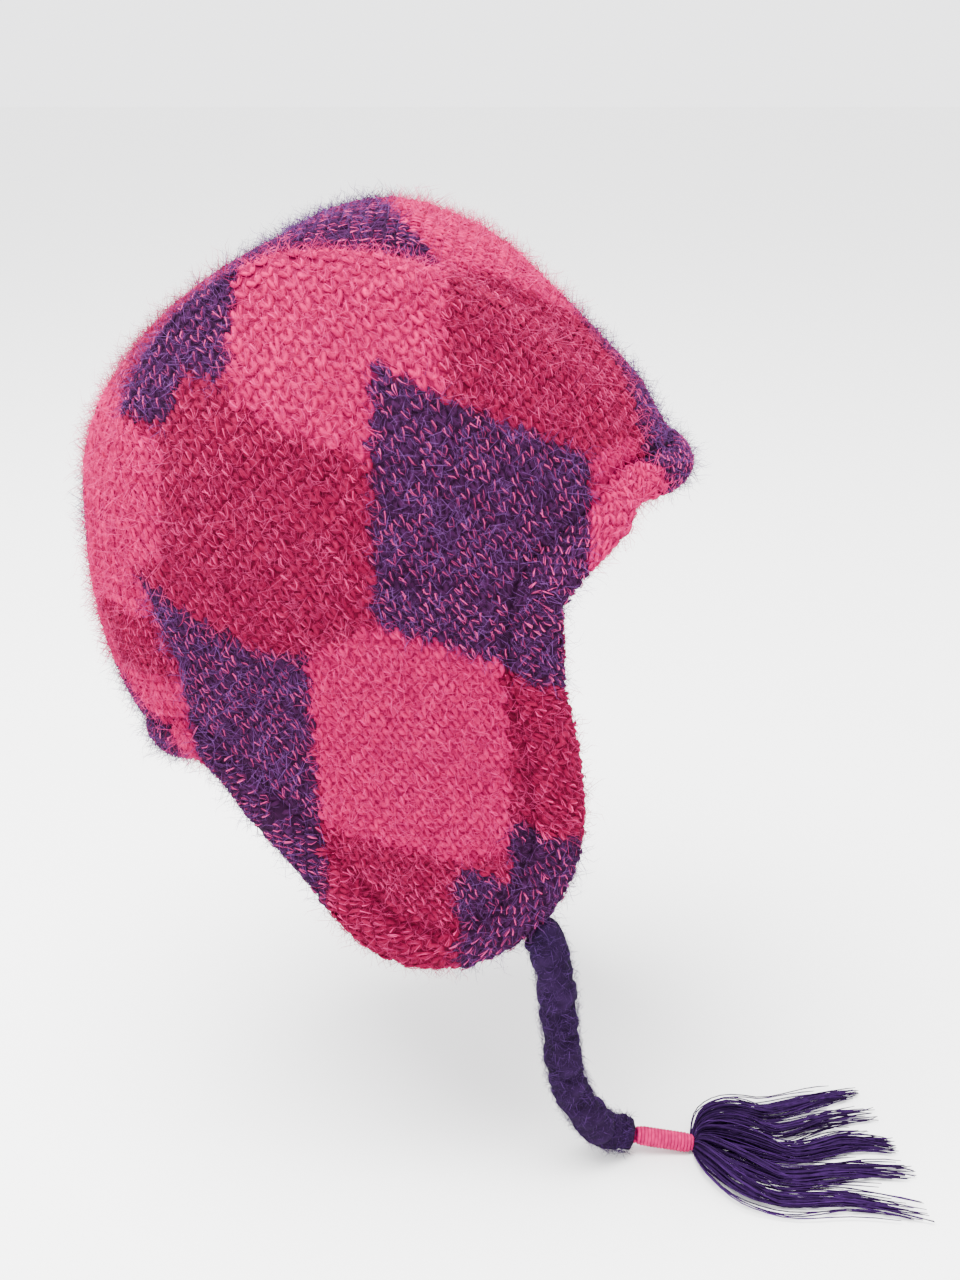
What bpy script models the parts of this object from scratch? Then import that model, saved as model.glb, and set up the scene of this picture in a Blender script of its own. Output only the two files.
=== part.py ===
"""Knitted ear-flap hat, open below, with a tie and a tassel on each flap.

Units are metres, +Z is up and the front of the hat faces -Y. The origin is the seat: the middle of
the crown's inner face, where the hat rests on the top of the head. The ties hang from the flaps
and their tassels lie on a level surface below.
"""

import bpy
import bmesh
from bisect import bisect
from collections import namedtuple
from math import atan2, cos, exp, inf, pi, radians, sin, sqrt
from mathutils import Matrix, Vector
from mathutils.geometry import delaunay_2d_cdt

# Driving sizes of the knitted body
HAT_LENGTH = 0.192        # brow to back, over the knit
HAT_WIDTH = 0.160         # ear to ear, over the knit
CROWN_DEPTH = 0.0736      # top of the crown down to the brow
FLAP_DROP = 0.1480        # brow down to the hem groove at the flap's tip
WALL = 0.0045             # thickness of the knit
GAP = 0.0003              # clearance between neighbouring pieces
SEAM_DEPTH = 0.0022       # how far a seam sinks below the knit beside it
SEAM_REACH = 0.0065       # how far from the seam the knit starts to sink
ROLL_REACH = 0.0080       # from the seam to the top of the side panel's roll

# Hem band
BAND_WIDTH = 0.0165       # groove to free edge, along the flaps and the nape
BAND_THICKNESS = 0.0092
PEAK_WIDTH = 0.0125       # the same two of the round peak over the brow
PEAK_THICKNESS = 0.0110

# Ties, bindings and tassels
REST_DROP = 0.3171        # seat down to the surface that the tassels lie on
TIE_DIAMETER = 0.0135
BINDING_LENGTH = 0.0205
BINDING_DIAMETER = 0.0070
TASSEL_LENGTH = 0.082
TASSEL_HEIGHT = 0.0060    # thickness of a lock at its fullest place
LOCK_WIDTH = 0.0150       # width of a lock at its fullest place
LOCK_START = 0.18         # part of a sine's half wave that a lock's swelling runs over
LOCK_END = 0.98
LOCK_SWELL = 0.6          # the power of that wave
LOCK_LEAST_WIDTH = 0.30   # at a lock's ends, as a share of its fullest
LOCK_LEAST_HEIGHT = 0.35

# Mesh density
SECTIONS = 34             # from brow to nape, along the seam and along the rim
PANEL_MARGINS = (0.0035, 0.0085)   # of the rows of points inside a side panel's edge
PANEL_GRAIN = 0.0125      # between points in the middle of a side panel
CENTRE_STEPS = (1.0, 0.93, 0.82, 0.64, 0.42, 0.2, 0.0)
BAND_SIDES = 12
TIE_ROWS = 15
BINDING_SIDES = 12
LOCK_SIDES = 8
LOCK_ROWS = 9
CURVE_STEPS = 24          # between two rows of a table, where its length is measured
OUTLINE_STEPS = 12        # between two rows of a table, where the body's outline is read
SLOPE_STEP = 0.02         # radians, each way, for the slope of the outline
EDGE_ROOM = 0.8           # least distance of a row of points from the edge, in its margins
GRAIN_ROOM = 0.6          # of the lattice from those rows, in grains

# Height of the ear, the middle of each side panel, as a share of FLAP_DROP below the brow
EAR_SHARE = 0.26

# The crown's ridge from brow to nape, in the plane of symmetry. Forward is a share of half the
# length, up is a share of CROWN_DEPTH above the brow and of FLAP_DROP below it, seam is the seam's
# distance from the ridge as a share of half the width, fullness is the power of the cross section
# (2 is an ellipse), dip and roll are how many times SEAM_DEPTH the seam sinks and the side panel
# swells beside it, rise is how far the body stands out past the sagging ridge, as a share, and
# lean is how many degrees the seam's end of a section is turned up or on along the crown.
CrownRow = namedtuple("CrownRow", "forward up fullness rise seam dip roll lean")
CROWN = (
    CrownRow(1.034, -0.02, 2.0, 0.000, 0.43, 0.3, 0.0, 3.5),
    CrownRow(0.932, 0.196, 2.0, 0.000, 0.38, 0.7, 0.0, 1.5),
    CrownRow(0.790, 0.397, 2.1, 0.000, 0.33, 0.8, 0.0, 0.0),
    CrownRow(0.610, 0.627, 2.3, 0.000, 0.38, 0.9, 0.2, 0.0),
    CrownRow(0.415, 0.841, 2.6, 0.000, 0.51, 1.0, 0.7, 0.0),
    CrownRow(0.140, 0.988, 2.7, 0.000, 0.55, 1.5, 1.5, 0.0),
    CrownRow(-0.075, 0.978, 2.8, 0.005, 0.53, 1.8, 2.3, 0.0),
    CrownRow(-0.270, 0.864, 3.0, 0.055, 0.52, 1.8, 2.3, 0.0),
    CrownRow(-0.475, 0.662, 3.2, 0.105, 0.53, 1.5, 2.0, 0.0),
    CrownRow(-0.710, 0.478, 3.0, 0.045, 0.55, 1.0, 1.4, 0.0),
    CrownRow(-0.895, 0.214, 2.7, 0.000, 0.57, 0.8, 0.7, 0.0),
    CrownRow(-0.980, -0.03, 2.5, 0.000, 0.62, 0.7, 0.3, 0.0),
    CrownRow(-0.995, -0.20, 2.4, 0.000, 0.72, 0.8, 0.0, 0.0),
    CrownRow(-0.985, -0.36, 2.3, 0.000, 0.78, 0.8, 0.0, 0.0),
    CrownRow(-0.935, -0.52, 2.2, 0.000, 0.79, 0.8, 0.0, 0.0),
    CrownRow(-0.845, -0.65, 2.2, 0.000, 0.74, 0.5, 0.0, 0.0),
)

# How much of the rise and the roll each side has: the back of the crown is dented to the left
SHOULDERS = {"right": 1.0, "left": 0.0}

# The rest of the way round the imagined head below the opening, from nape to brow, which sets how
# far the flaps stand out.
BodyRow = namedtuple("BodyRow", "forward up fullness")
BELOW = (
    BodyRow(-0.70, -0.80, 2.2),
    BodyRow(-0.63, -1.03, 2.3),
    BodyRow(-0.43, -1.36, 2.3),
    BodyRow(0.00, -2.00, 2.3),
    BodyRow(0.69, -2.00, 2.3),
    BodyRow(1.26, -1.74, 2.3),
    BodyRow(1.60, -1.35, 2.3),
    BodyRow(1.74, -0.94, 2.3),
    BodyRow(1.70, -0.57, 2.3),
    BodyRow(1.51, -0.26, 2.3),
    BodyRow(1.24, -0.11, 2.2),
)

# The hem groove of one side, between its front and back seams. Forward and up are as above, and
# flare is the turn outward of the band in degrees.
RimRow = namedtuple("RimRow", "forward up flare")
RIM = (
    RimRow(0.820, -0.010, 30.0),
    RimRow(0.735, -0.075, 26.0),
    RimRow(0.590, -0.130, 20.0),
    RimRow(0.485, -0.195, 12.0),
    RimRow(0.455, -0.29, 4.0),
    RimRow(0.46, -0.42, 0.0),
    RimRow(0.51, -0.56, 0.0),
    RimRow(0.54, -0.69, 0.0),
    RimRow(0.54, -0.79, 0.0),
    RimRow(0.50, -0.88, 0.0),
    RimRow(0.42, -0.95, 0.0),
    RimRow(0.29, -1.00, 0.0),
    RimRow(0.18, -1.00, 0.0),
    RimRow(0.07, -0.96, 0.0),
    RimRow(-0.06, -0.85, 0.0),
    RimRow(-0.19, -0.76, 0.0),
    RimRow(-0.35, -0.66, -6.0),
    RimRow(-0.49, -0.60, -16.0),
)

# Flare of the band over the nape
NAPE_FLARE = -24.0

# Share of the rim from the front seam to the back one where the tie hangs
TIE_SHARE = 0.56

# Straight length of a tie out of the hem, in tie diameters
TIE_LEAD = 0.30

# Middle line of each tie past its root, as (across, forward, height over the rest surface)
TIE_ROUTES = {
    "right": (
        (-0.0720, 0.0600, 0.0815),
        (-0.0710, 0.0622, 0.0598),
        (-0.0700, 0.0642, 0.0431),
        (-0.0680, 0.0680, 0.0305),
        (-0.0645, 0.0735, 0.0198),
        (-0.0595, 0.0790, 0.0117),
        (-0.0562, 0.0845, 0.0080),
        (-0.0567, 0.0898, 0.0074),
    ),
    "left": (
        (0.0722, 0.0590, 0.0810),
        (0.0750, 0.0600, 0.0620),
        (0.0795, 0.0605, 0.0450),
        (0.0860, 0.0603, 0.0300),
        (0.0945, 0.0595, 0.0185),
        (0.1035, 0.0580, 0.0112),
        (0.1105, 0.0566, 0.0080),
        (0.1160, 0.0552, 0.0074),
    ),
}

# Outline of a binding as (along, out): shares of its length and of its radius
BINDING_OUTLINE = (
    (0.00, 0.72),
    (0.06, 0.94),
    (0.22, 1.00),
    (0.50, 0.97),
    (0.78, 1.00),
    (0.94, 0.94),
    (1.00, 0.72),
)

# Half axes of a tassel's round head (along, across, up) in binding diameters, and how far into it
# the locks start, in its half length
HEAD_SHARES = (0.75, 0.62, 0.50)
LOCK_ROOT = 0.7

# Locks of a tassel: its middle line as (along, across) shares of TASSEL_LENGTH. Each lies on the
# one before by its share of LOCK_LIFTS, in thicknesses of a lock.
LOCK_LIFTS = (0.05, 0.17, 0.31, 0.11, 0.23)
LOCKS = (
    ((0.00, 0.00), (0.10, 0.10), (0.27, 0.19), (0.46, 0.25), (0.66, 0.35), (0.83, 0.39)),
    ((0.00, 0.00), (0.12, 0.04), (0.28, 0.03), (0.46, 0.07), (0.66, 0.16), (0.86, 0.22)),
    ((0.00, 0.00), (0.12, 0.00), (0.28, -0.06), (0.48, -0.08), (0.70, 0.00), (0.90, -0.03)),
    ((0.00, 0.00), (0.10, -0.07), (0.22, -0.18), (0.40, -0.24), (0.64, -0.21), (0.93, -0.23)),
    ((0.00, 0.00), (0.06, -0.15), (0.18, -0.33), (0.34, -0.39), (0.60, -0.40), (0.88, -0.50)),
)

# Surface colours as (red, green, blue), linear
LIGHT_PINK = (0.78, 0.13, 0.28)
RASPBERRY = (0.47, 0.04, 0.12)
PURPLE = (0.09, 0.03, 0.12)
VIOLET = (0.04, 0.02, 0.09)
BINDING_PINK = (0.62, 0.06, 0.20)

# Sizes that follow from the ones above
HALF_LENGTH = HAT_LENGTH / 2
HALF_WIDTH = HAT_WIDTH / 2
TOP = WALL                      # outer face of the crown above the seat
BROW = TOP - CROWN_DEPTH
FLOOR = -REST_DROP
HEAD_HALF = tuple(BINDING_DIAMETER * share for share in HEAD_SHARES)
EAR = Vector((0.0, 0.0, BROW - EAR_SHARE * FLAP_DROP))


def clear_scene():
    for old in list(bpy.data.objects):
        bpy.data.objects.remove(old, do_unlink=True)


def make_collection(name):
    collection = bpy.data.collections.new(name)
    bpy.context.scene.collection.children.link(collection)
    return collection


def make_material(name, colour, roughness):
    material = bpy.data.materials.new(name)
    material.use_nodes = True
    shader = material.node_tree.nodes["Principled BSDF"]
    shader.inputs["Base Color"].default_value = (*colour, 1.0)
    shader.inputs["Roughness"].default_value = roughness
    shader.inputs["Metallic"].default_value = 0.0
    return material


def add_object(name, data, material, collection):
    obj = bpy.data.objects.new(name, data)
    collection.objects.link(obj)
    data.materials.append(material)
    return obj


def height(up):
    """Height of a table's up share: a share of the crown above the brow, of the flap below it."""
    return BROW + up * (CROWN_DEPTH if up > 0 else FLAP_DROP)


def across(share, fullness):
    """One half axis of a rounded cross section, as a share, where the other stands at share."""
    return max(0.0, 1.0 - min(1.0, share) ** fullness) ** (1.0 / fullness)


def spline_value(rows, place):
    """Row of a table read at a place between its rows, on a smooth curve through them."""
    last = len(rows) - 1
    index = min(max(int(place), 0), last - 1)
    t = place - index
    p0, p1 = rows[max(index - 1, 0)], rows[index]
    p2, p3 = rows[index + 1], rows[min(index + 2, last)]
    return tuple(
        0.5 * (2 * b + (c - a) * t + (2 * a - 5 * b + 4 * c - d) * t * t + (3 * b - a - 3 * c + d) * t ** 3)
        for a, b, c, d in zip(p0, p1, p2, p3)
    )


def even_places(rows, point_of, count):
    """Places in a table that lie evenly along the curve that point_of gives."""
    places = [i / CURVE_STEPS for i in range((len(rows) - 1) * CURVE_STEPS + 1)]
    points = [point_of(spline_value(rows, place)) for place in places]
    run = [0.0]
    for a, b in zip(points, points[1:]):
        run.append(run[-1] + (b - a).length)
    found = []
    for step in range(count):
        goal = run[-1] * step / (count - 1)
        index = next(i for i in range(1, len(run)) if run[i] >= goal - 1e-12)
        share = (goal - run[index - 1]) / (run[index] - run[index - 1])
        found.append(places[index - 1] + share * (places[index] - places[index - 1]))
    return found


def chart_point(row):
    """Point in the plane of symmetry for a row that starts with forward and up."""
    return Vector((0.0, -row[0] * HALF_LENGTH, height(row[1])))


def spoke_angle(y, z):
    return atan2(z - EAR.z, EAR.y - y)


def body_outline(shoulder):
    """Outline of the imagined head as (angle, radius, fullness) about the ear, from the brow on.

    Shoulder is how much of the crown's rise it has.
    """
    ring = [row[:4] for row in CROWN] + [(*row, 0.0) for row in BELOW]
    count = len(ring)
    loop = [ring[-1]] + ring + ring[:2]
    outline = []
    for step in range(count * OUTLINE_STEPS + 1):
        forward, up, fullness, rise = spline_value(loop, 1 + step / OUTLINE_STEPS)
        point = chart_point((forward, up))
        angle = spoke_angle(point.y, point.z)
        while outline and angle < outline[-1][0] - pi:
            angle += 2 * pi
        outline.append((angle, (point - EAR).length * (1 + rise * shoulder), fullness))
    return outline


def outline_at(outline, angle):
    """Radius and fullness of the outline at an angle."""
    start = outline[0][0]
    angle = start + (angle - start) % (2 * pi)
    index = min(max(bisect([step[0] for step in outline], angle), 1), len(outline) - 1)
    (a, radius_a, full_a), (b, radius_b, full_b) = outline[index - 1], outline[index]
    share = min(1.0, max(0.0, (angle - a) / (b - a)))
    return radius_a + share * (radius_b - radius_a), full_a + share * (full_b - full_a)


def body_point(outline, y, z):
    """Point of the right side of the body's outer face over a place in the side view."""
    radius, fullness = outline_at(outline, spoke_angle(y, z))
    reach = (Vector((0.0, y, z)) - EAR).length / radius
    return Vector((-HALF_WIDTH * across(reach, fullness), y, z))


def body_normal(outline, point):
    """Outward normal of the body's outer face at a point on it."""
    angle = spoke_angle(point.y, point.z)
    radius, fullness = outline_at(outline, angle)
    ahead, behind = outline_at(outline, angle + SLOPE_STEP)[0], outline_at(outline, angle - SLOPE_STEP)[0]
    slope = (ahead - behind) / (2 * SLOPE_STEP)
    spoke = Vector((0.0, point.y - EAR.y, point.z - EAR.z))
    outward = spoke.normalized()
    onward = Vector((0.0, outward.z, -outward.y))
    radial = spoke.length ** (fullness - 1) / radius ** fullness
    normal = (outward - onward * (slope / radius)) * radial
    breadth = abs(point.x) ** (fullness - 1) / HALF_WIDTH ** fullness
    normal.x = breadth if point.x > 0 else -breadth
    return normal.normalized()


def crown_point(outline, row, side):
    """Point of the crown beside the ridge. Side is the distance from it, positive to the right."""
    ridge = chart_point(row)
    share = (side / (row.seam * HALF_WIDTH)) ** 2
    angle = spoke_angle(ridge.y, ridge.z) + radians(row.lean) * share
    radius, fullness = outline_at(outline, angle)
    sag = row.rise / (1 + row.rise) * (1 - min(1.0, share)) ** 2
    reach = radius * across(side / HALF_WIDTH, fullness) * (1 - sag)
    return EAR + Vector((-side, -cos(angle) * reach, sin(angle) * reach))


def sunk(outline, row, point, distance):
    """The point moved into the knit by the seam's groove, at a distance from the seam."""
    depth = row.dip * SEAM_DEPTH * exp(-distance / SEAM_REACH)
    return point - body_normal(outline, point) * depth


def swollen(outline, row, point, distance):
    """The point moved out by the side panel's roll along the seam, at a distance from the seam."""
    share = distance / ROLL_REACH
    lift = row.roll * SEAM_DEPTH * share * exp((1 - share * share) / 2)
    return point + body_normal(outline, point) * lift


def crown_rows():
    places = even_places(CROWN, chart_point, SECTIONS + 1)
    return [CrownRow._make(spline_value(CROWN, place)) for place in places]


def rim_row(point, flare=0.0):
    """Row of RIM for a point of the hem groove."""
    up = point.z - BROW
    return RimRow(-point.y / HALF_LENGTH, up / (CROWN_DEPTH if up > 0 else FLAP_DROP), flare)


def seam_points(outline, rows):
    """Edge of the right side panel along the seam, clear of the centre panel."""
    return [crown_point(outline, row, row.seam * HALF_WIDTH + GAP / 2) for row in rows]


def rim_stations(seam):
    """Hem groove of the right side, seam to seam, as evenly spaced rows of RIM."""
    table = [rim_row(seam[0]), *RIM, rim_row(seam[-1], NAPE_FLARE)]
    places = even_places(table, chart_point, SECTIONS + 1)
    return [RimRow._make(spline_value(table, place)) for place in places]


def edge_distance(edge, place):
    """Distance of a place in the side view from a closed outline, and whether it lies inside."""
    nearest = inf
    inside = False
    for a, b in zip(edge, edge[1:] + edge[:1]):
        run = b - a
        share = min(1.0, max(0.0, (place - a).dot(run) / run.length_squared))
        nearest = min(nearest, (place - a - share * run).length)
        if (a.y > place.y) != (b.y > place.y) and place.x < a.x + (place.y - a.y) / run.y * run.x:
            inside = not inside
    return nearest, inside


def panel_places(edge):
    """Places inside a side panel's outline in the side view: rows along its edge, then a lattice."""
    places = []
    for margin in PANEL_MARGINS:
        for before, here, after in zip(edge[-1:] + edge, edge, edge[1:] + edge[:1]):
            run = (after - before).normalized()
            for beside in (Vector((-run.y, run.x)), Vector((run.y, -run.x))):
                place = here + beside * margin
                nearest, inside = edge_distance(edge, place)
                if inside and nearest > margin * EDGE_ROOM:
                    places.append(place)
    low = Vector((min(p.x for p in edge), min(p.y for p in edge)))
    high = Vector((max(p.x for p in edge), max(p.y for p in edge)))
    rise = PANEL_GRAIN * sqrt(3) / 2
    for j in range(int((high.y - low.y) / rise) + 1):
        for i in range(int((high.x - low.x) / PANEL_GRAIN) + 1):
            place = low + Vector(((i + j % 2 / 2) * PANEL_GRAIN, j * rise))
            nearest, inside = edge_distance(edge, place)
            if inside and nearest > PANEL_MARGINS[-1] + PANEL_GRAIN * GRAIN_ROOM:
                places.append(place)
    return places


def side_surface(outline, rows, seam, rim):
    """Points and triangles of the right side panel's outer face."""
    edge_points = [point.copy() for point in seam]
    edge_points += [rim_point(outline, row) for row in reversed(rim[1:-1])]
    edge = [Vector((point.y, point.z)) for point in edge_points]
    places = edge + panel_places(edge)
    flat, _, faces, _, _, _ = delaunay_2d_cdt(places, [], [list(range(len(edge)))], 1, 1e-7)
    points = edge_points + [body_point(outline, place.x, place.y) for place in flat[len(edge):]]
    for index, point in enumerate(points):
        nearest = min(range(len(seam)), key=lambda k: (seam[k] - point).length)
        distance = (seam[nearest] - point).length
        point = swollen(outline, rows[nearest], point, distance)
        points[index] = sunk(outline, rows[nearest], point, distance)
    return points, faces


def centre_grid(outline, rows):
    """Points of the right half of the centre panel's outer face, from its seam to the ridge."""
    grid = []
    for row in rows:
        reach = row.seam * HALF_WIDTH - GAP / 2
        line = [crown_point(outline, row, share * reach) for share in CENTRE_STEPS]
        grid.append([sunk(outline, row, p, (1 - s) * reach) for p, s in zip(line, CENTRE_STEPS)])
    return grid


def side_mesh(name, points, faces):
    """Open dish of one side panel."""
    build = bmesh.new()
    verts = [build.verts.new(point) for point in points]
    for face in faces:
        build.faces.new([verts[index] for index in face])
    return face_outward(name, build)


def strip_mesh(name, grid):
    """Open surface through the lines of a grid."""
    build = bmesh.new()
    lines = [[build.verts.new(point) for point in line] for line in grid]
    for a, b in zip(lines, lines[1:]):
        for i in range(len(a) - 1):
            build.faces.new((a[i], a[i + 1], b[i + 1], b[i]))
    return face_outward(name, build)


def face_outward(name, build):
    """Finish an open surface with its faces turned away from the middle of the hat."""
    build.normal_update()
    face = build.faces[:][len(build.faces) // 2]
    if face.normal.dot(face.calc_center_median() - EAR) < 0:
        bmesh.ops.reverse_faces(build, faces=build.faces)
    return finish_mesh(name, build)


def loft(name, rings, capped):
    """Mesh through rings of equally many points, with or without flat ends."""
    build = bmesh.new()
    loops = [[build.verts.new(point) for point in ring] for ring in rings]
    for a, b in zip(loops, loops[1:]):
        for i in range(len(a)):
            j = (i + 1) % len(a)
            build.faces.new((a[i], a[j], b[j], b[i]))
    if capped:
        build.faces.new(list(reversed(loops[0])))
        build.faces.new(loops[-1])
    bmesh.ops.recalc_face_normals(build, faces=build.faces)
    return finish_mesh(name, build)


def finish_mesh(name, build):
    mesh = bpy.data.meshes.new(name)
    build.to_mesh(mesh)
    build.free()
    mesh.shade_smooth()
    return mesh


def add_wall(obj):
    """Give an open knitted surface its thickness, inward from the outer face."""
    wall = obj.modifiers.new("Wall", "SOLIDIFY")
    wall.thickness = WALL
    wall.offset = -1.0


def add_mirror(obj):
    mirror = obj.modifiers.new("Mirror", "MIRROR")
    mirror.use_axis = (True, False, False)
    mirror.merge_threshold = 0.0001


def rim_point(outline, row):
    """Point of the right hem groove for a row of RIM."""
    place = chart_point(row)
    return body_point(outline, place.y, place.z)


def rim_line(points, centre, rim):
    """Hem groove of the right half from brow to nape as (point, flare), on the panels' edges.

    The side panel's points start with its seam edge, and then its hem edge from nape to brow.
    """
    steps = len(CENTRE_STEPS) - 1
    seam_end = len(centre)
    hem = points[seam_end:seam_end + len(rim) - 2]
    line = [(centre[0][k], rim[1].flare * (1 - k / steps) ** 2) for k in range(steps, 0, -1)]
    line.append((points[0], rim[1].flare))
    line += [(point, row.flare) for point, row in zip(reversed(hem), rim[1:-1])]
    line.append((points[seam_end - 1], NAPE_FLARE))
    line += [(centre[-1][k], NAPE_FLARE) for k in range(1, steps + 1)]
    return line


def peak_share(point, brow, temple):
    """How much of the peak's own size a place has: all at the brow, none at the temple."""
    share = min(1.0, max(0.0, (temple - point.y) / (temple - brow)))
    return share * share * (3 - 2 * share)


def band_sections(outline, line):
    """Sections of the hem band along the rim, each as (middle, off, raised, flare)."""
    temple = chart_point(RIM[3]).y
    brow = line[0][0].y
    low = chart_point(RIM[4]).z
    sections = []
    for i, (point, flare) in enumerate(line):
        before = line[i - 1][0] if i > 0 else flip(line[1][0])
        after = line[i + 1][0] if i < len(line) - 1 else flip(line[-2][0])
        run = (after - before).normalized()
        normal = body_normal(outline, point)
        normal = (normal - run * normal.dot(run)).normalized()
        share = peak_share(point, brow, temple) if point.z > low else 0.0
        width = BAND_WIDTH + (PEAK_WIDTH - BAND_WIDTH) * share
        thickness = BAND_THICKNESS + (PEAK_THICKNESS - BAND_THICKNESS) * share
        off = normal.cross(run) * (width / 2)
        clear = GAP * (1 + 2 * sin(radians(abs(flare))))
        middle = point - normal * (WALL / 2) + off * (1 + 2 * clear / width)
        sections.append((middle, off, normal * (thickness / 2), radians(flare)))
    return sections


def section_point(section, angle):
    """Point of a band section at an angle from its groove. The flare grows towards the free edge."""
    middle, off, raised, flare = section
    turn = flare * (1 - cos(angle)) / 2
    turned = off * cos(turn) + raised * (off.length / raised.length * sin(turn))
    lifted = raised * cos(turn) - off * (raised.length / off.length * sin(turn))
    return middle - turned * cos(angle) + lifted * sin(angle)


def flip(point):
    return Vector((-point.x, point.y, point.z))


def band_mesh(name, sections):
    """Right half of the hem band, open in the plane of symmetry."""
    rings = []
    for i, section in enumerate(sections):
        ring = [section_point(section, 2 * pi * step / BAND_SIDES) for step in range(BAND_SIDES)]
        if i in (0, len(sections) - 1):
            for point in ring:
                point.x = 0.0
        rings.append(ring)
    return loft(name, rings, capped=False)


def tie_points(route, root, lead):
    """Points of a tie's middle line: a straight lead out of the hem, then its smooth route."""
    stops = [root, root + lead] + [Vector((x, -forward, FLOOR + up)) for x, forward, up in route]
    stops = [tuple(stop) for stop in stops]
    places = even_places(stops, Vector, TIE_ROWS)
    points = [Vector(spline_value(stops, place)) for place in places]
    step = (points[1] - points[0]).length
    points[1] = points[0] + lead.normalized() * step
    return points


def tie_curve(name, points):
    curve = bpy.data.curves.new(name, "CURVE")
    curve.dimensions = "3D"
    curve.bevel_depth = TIE_DIAMETER / 2
    curve.bevel_resolution = 3
    curve.use_fill_caps = True
    spline = curve.splines.new("POLY")
    spline.points.add(len(points) - 1)
    for knot, point in zip(spline.points, points):
        knot.co = (*point, 1.0)
    spline.use_smooth = True
    return curve


def along_frame(start, direction):
    """Matrix at start whose X axis runs along direction and whose Z axis points up."""
    x_axis = direction.normalized()
    y_axis = Vector((0.0, 0.0, 1.0)).cross(x_axis).normalized()
    z_axis = x_axis.cross(y_axis)
    matrix = Matrix((x_axis, y_axis, z_axis)).transposed().to_4x4()
    matrix.translation = start
    return matrix


def binding_mesh(name):
    """Half outline of the wound thread, from end to end of its axis. It's turned about X."""
    radius = BINDING_DIAMETER / 2
    profile = [(0.0, 0.0), *BINDING_OUTLINE, (1.0, 0.0)]
    mesh = bpy.data.meshes.new(name)
    places = [(along * BINDING_LENGTH, 0.0, share * radius) for along, share in profile]
    mesh.from_pydata(places, [(i, i + 1) for i in range(len(places) - 1)], [])
    return mesh


def add_turn(obj):
    """Turn a half outline into a solid about the X axis."""
    turn = obj.modifiers.new("Turn", "SCREW")
    turn.axis = "X"
    turn.steps = BINDING_SIDES
    turn.render_steps = BINDING_SIDES
    turn.use_merge_vertices = True
    turn.merge_threshold = 0.0001
    turn.use_normal_calculate = True


def lock_mesh(name, line):
    """One flat lock along its middle line: narrow at the root, full in the middle, thin at the tip."""
    stops = [Vector((a * TASSEL_LENGTH, b * TASSEL_LENGTH, 0.0)) for a, b in line]
    rows = [tuple(stop) for stop in stops]
    places = even_places(rows, Vector, LOCK_ROWS)
    points = [Vector(spline_value(rows, place)) for place in places]
    rings = []
    for i, point in enumerate(points):
        share = i / (LOCK_ROWS - 1)
        run = (points[min(i + 1, LOCK_ROWS - 1)] - points[max(i - 1, 0)]).normalized()
        beside = Vector((-run.y, run.x, 0.0))
        full = sin(pi * (LOCK_START + share * (LOCK_END - LOCK_START))) ** LOCK_SWELL
        wide = LOCK_WIDTH / 2 * max(LOCK_LEAST_WIDTH, full)
        high = TASSEL_HEIGHT / 2 * max(LOCK_LEAST_HEIGHT, full)
        ring = []
        for step in range(LOCK_SIDES):
            angle = 2 * pi * step / LOCK_SIDES
            ring.append(point + beside * wide * cos(angle) + Vector((0.0, 0.0, high * (sin(angle) + 1))))
        rings.append(ring)
    return loft(name, rings, capped=True)


def tassel_mesh(name, collection, material):
    """Locks united with a round head. The head's middle is the origin and the locks run along X."""
    bpy.ops.mesh.primitive_uv_sphere_add(segments=12, ring_count=8, radius=1.0)
    head = bpy.context.active_object
    head.name = name + "_head"
    head.data.transform(Matrix.Diagonal((*HEAD_HALF, 1.0)))
    head.data.transform(Matrix.Translation((HEAD_HALF[0] + GAP, 0.0, HEAD_HALF[2])))
    for other in head.users_collection:
        other.objects.unlink(head)
    collection.objects.link(head)
    for index, line in enumerate(LOCKS):
        lock = add_object(f"{name}_lock_{index + 1}", lock_mesh(f"{name}_lock", line), material, collection)
        lift = LOCK_LIFTS[index]
        lock.location = (HEAD_HALF[0] * (LOCK_ROOT + lift), 0.0, lift * TASSEL_HEIGHT)
        joined = head.modifiers.new(f"Lock {index + 1}", "BOOLEAN")
        joined.operation = "UNION"
        joined.object = lock
    bpy.context.view_layer.update()
    evaluated = head.evaluated_get(bpy.context.evaluated_depsgraph_get())
    mesh = bpy.data.meshes.new_from_object(evaluated)
    mesh.name = name
    for piece in list(collection.objects):
        bpy.data.objects.remove(piece, do_unlink=True)
    return mesh


def half_hat(shoulder):
    """One side of the hat, as on the right: its outline, side panel, centre grid and rim."""
    outline = body_outline(shoulder)
    rows = [row._replace(rise=row.rise * shoulder, roll=row.roll * shoulder) for row in crown_rows()]
    seam = seam_points(outline, rows)
    rim = rim_stations(seam)
    points, faces = side_surface(outline, rows, seam, rim)
    return outline, points, faces, centre_grid(outline, rows), rim


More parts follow.
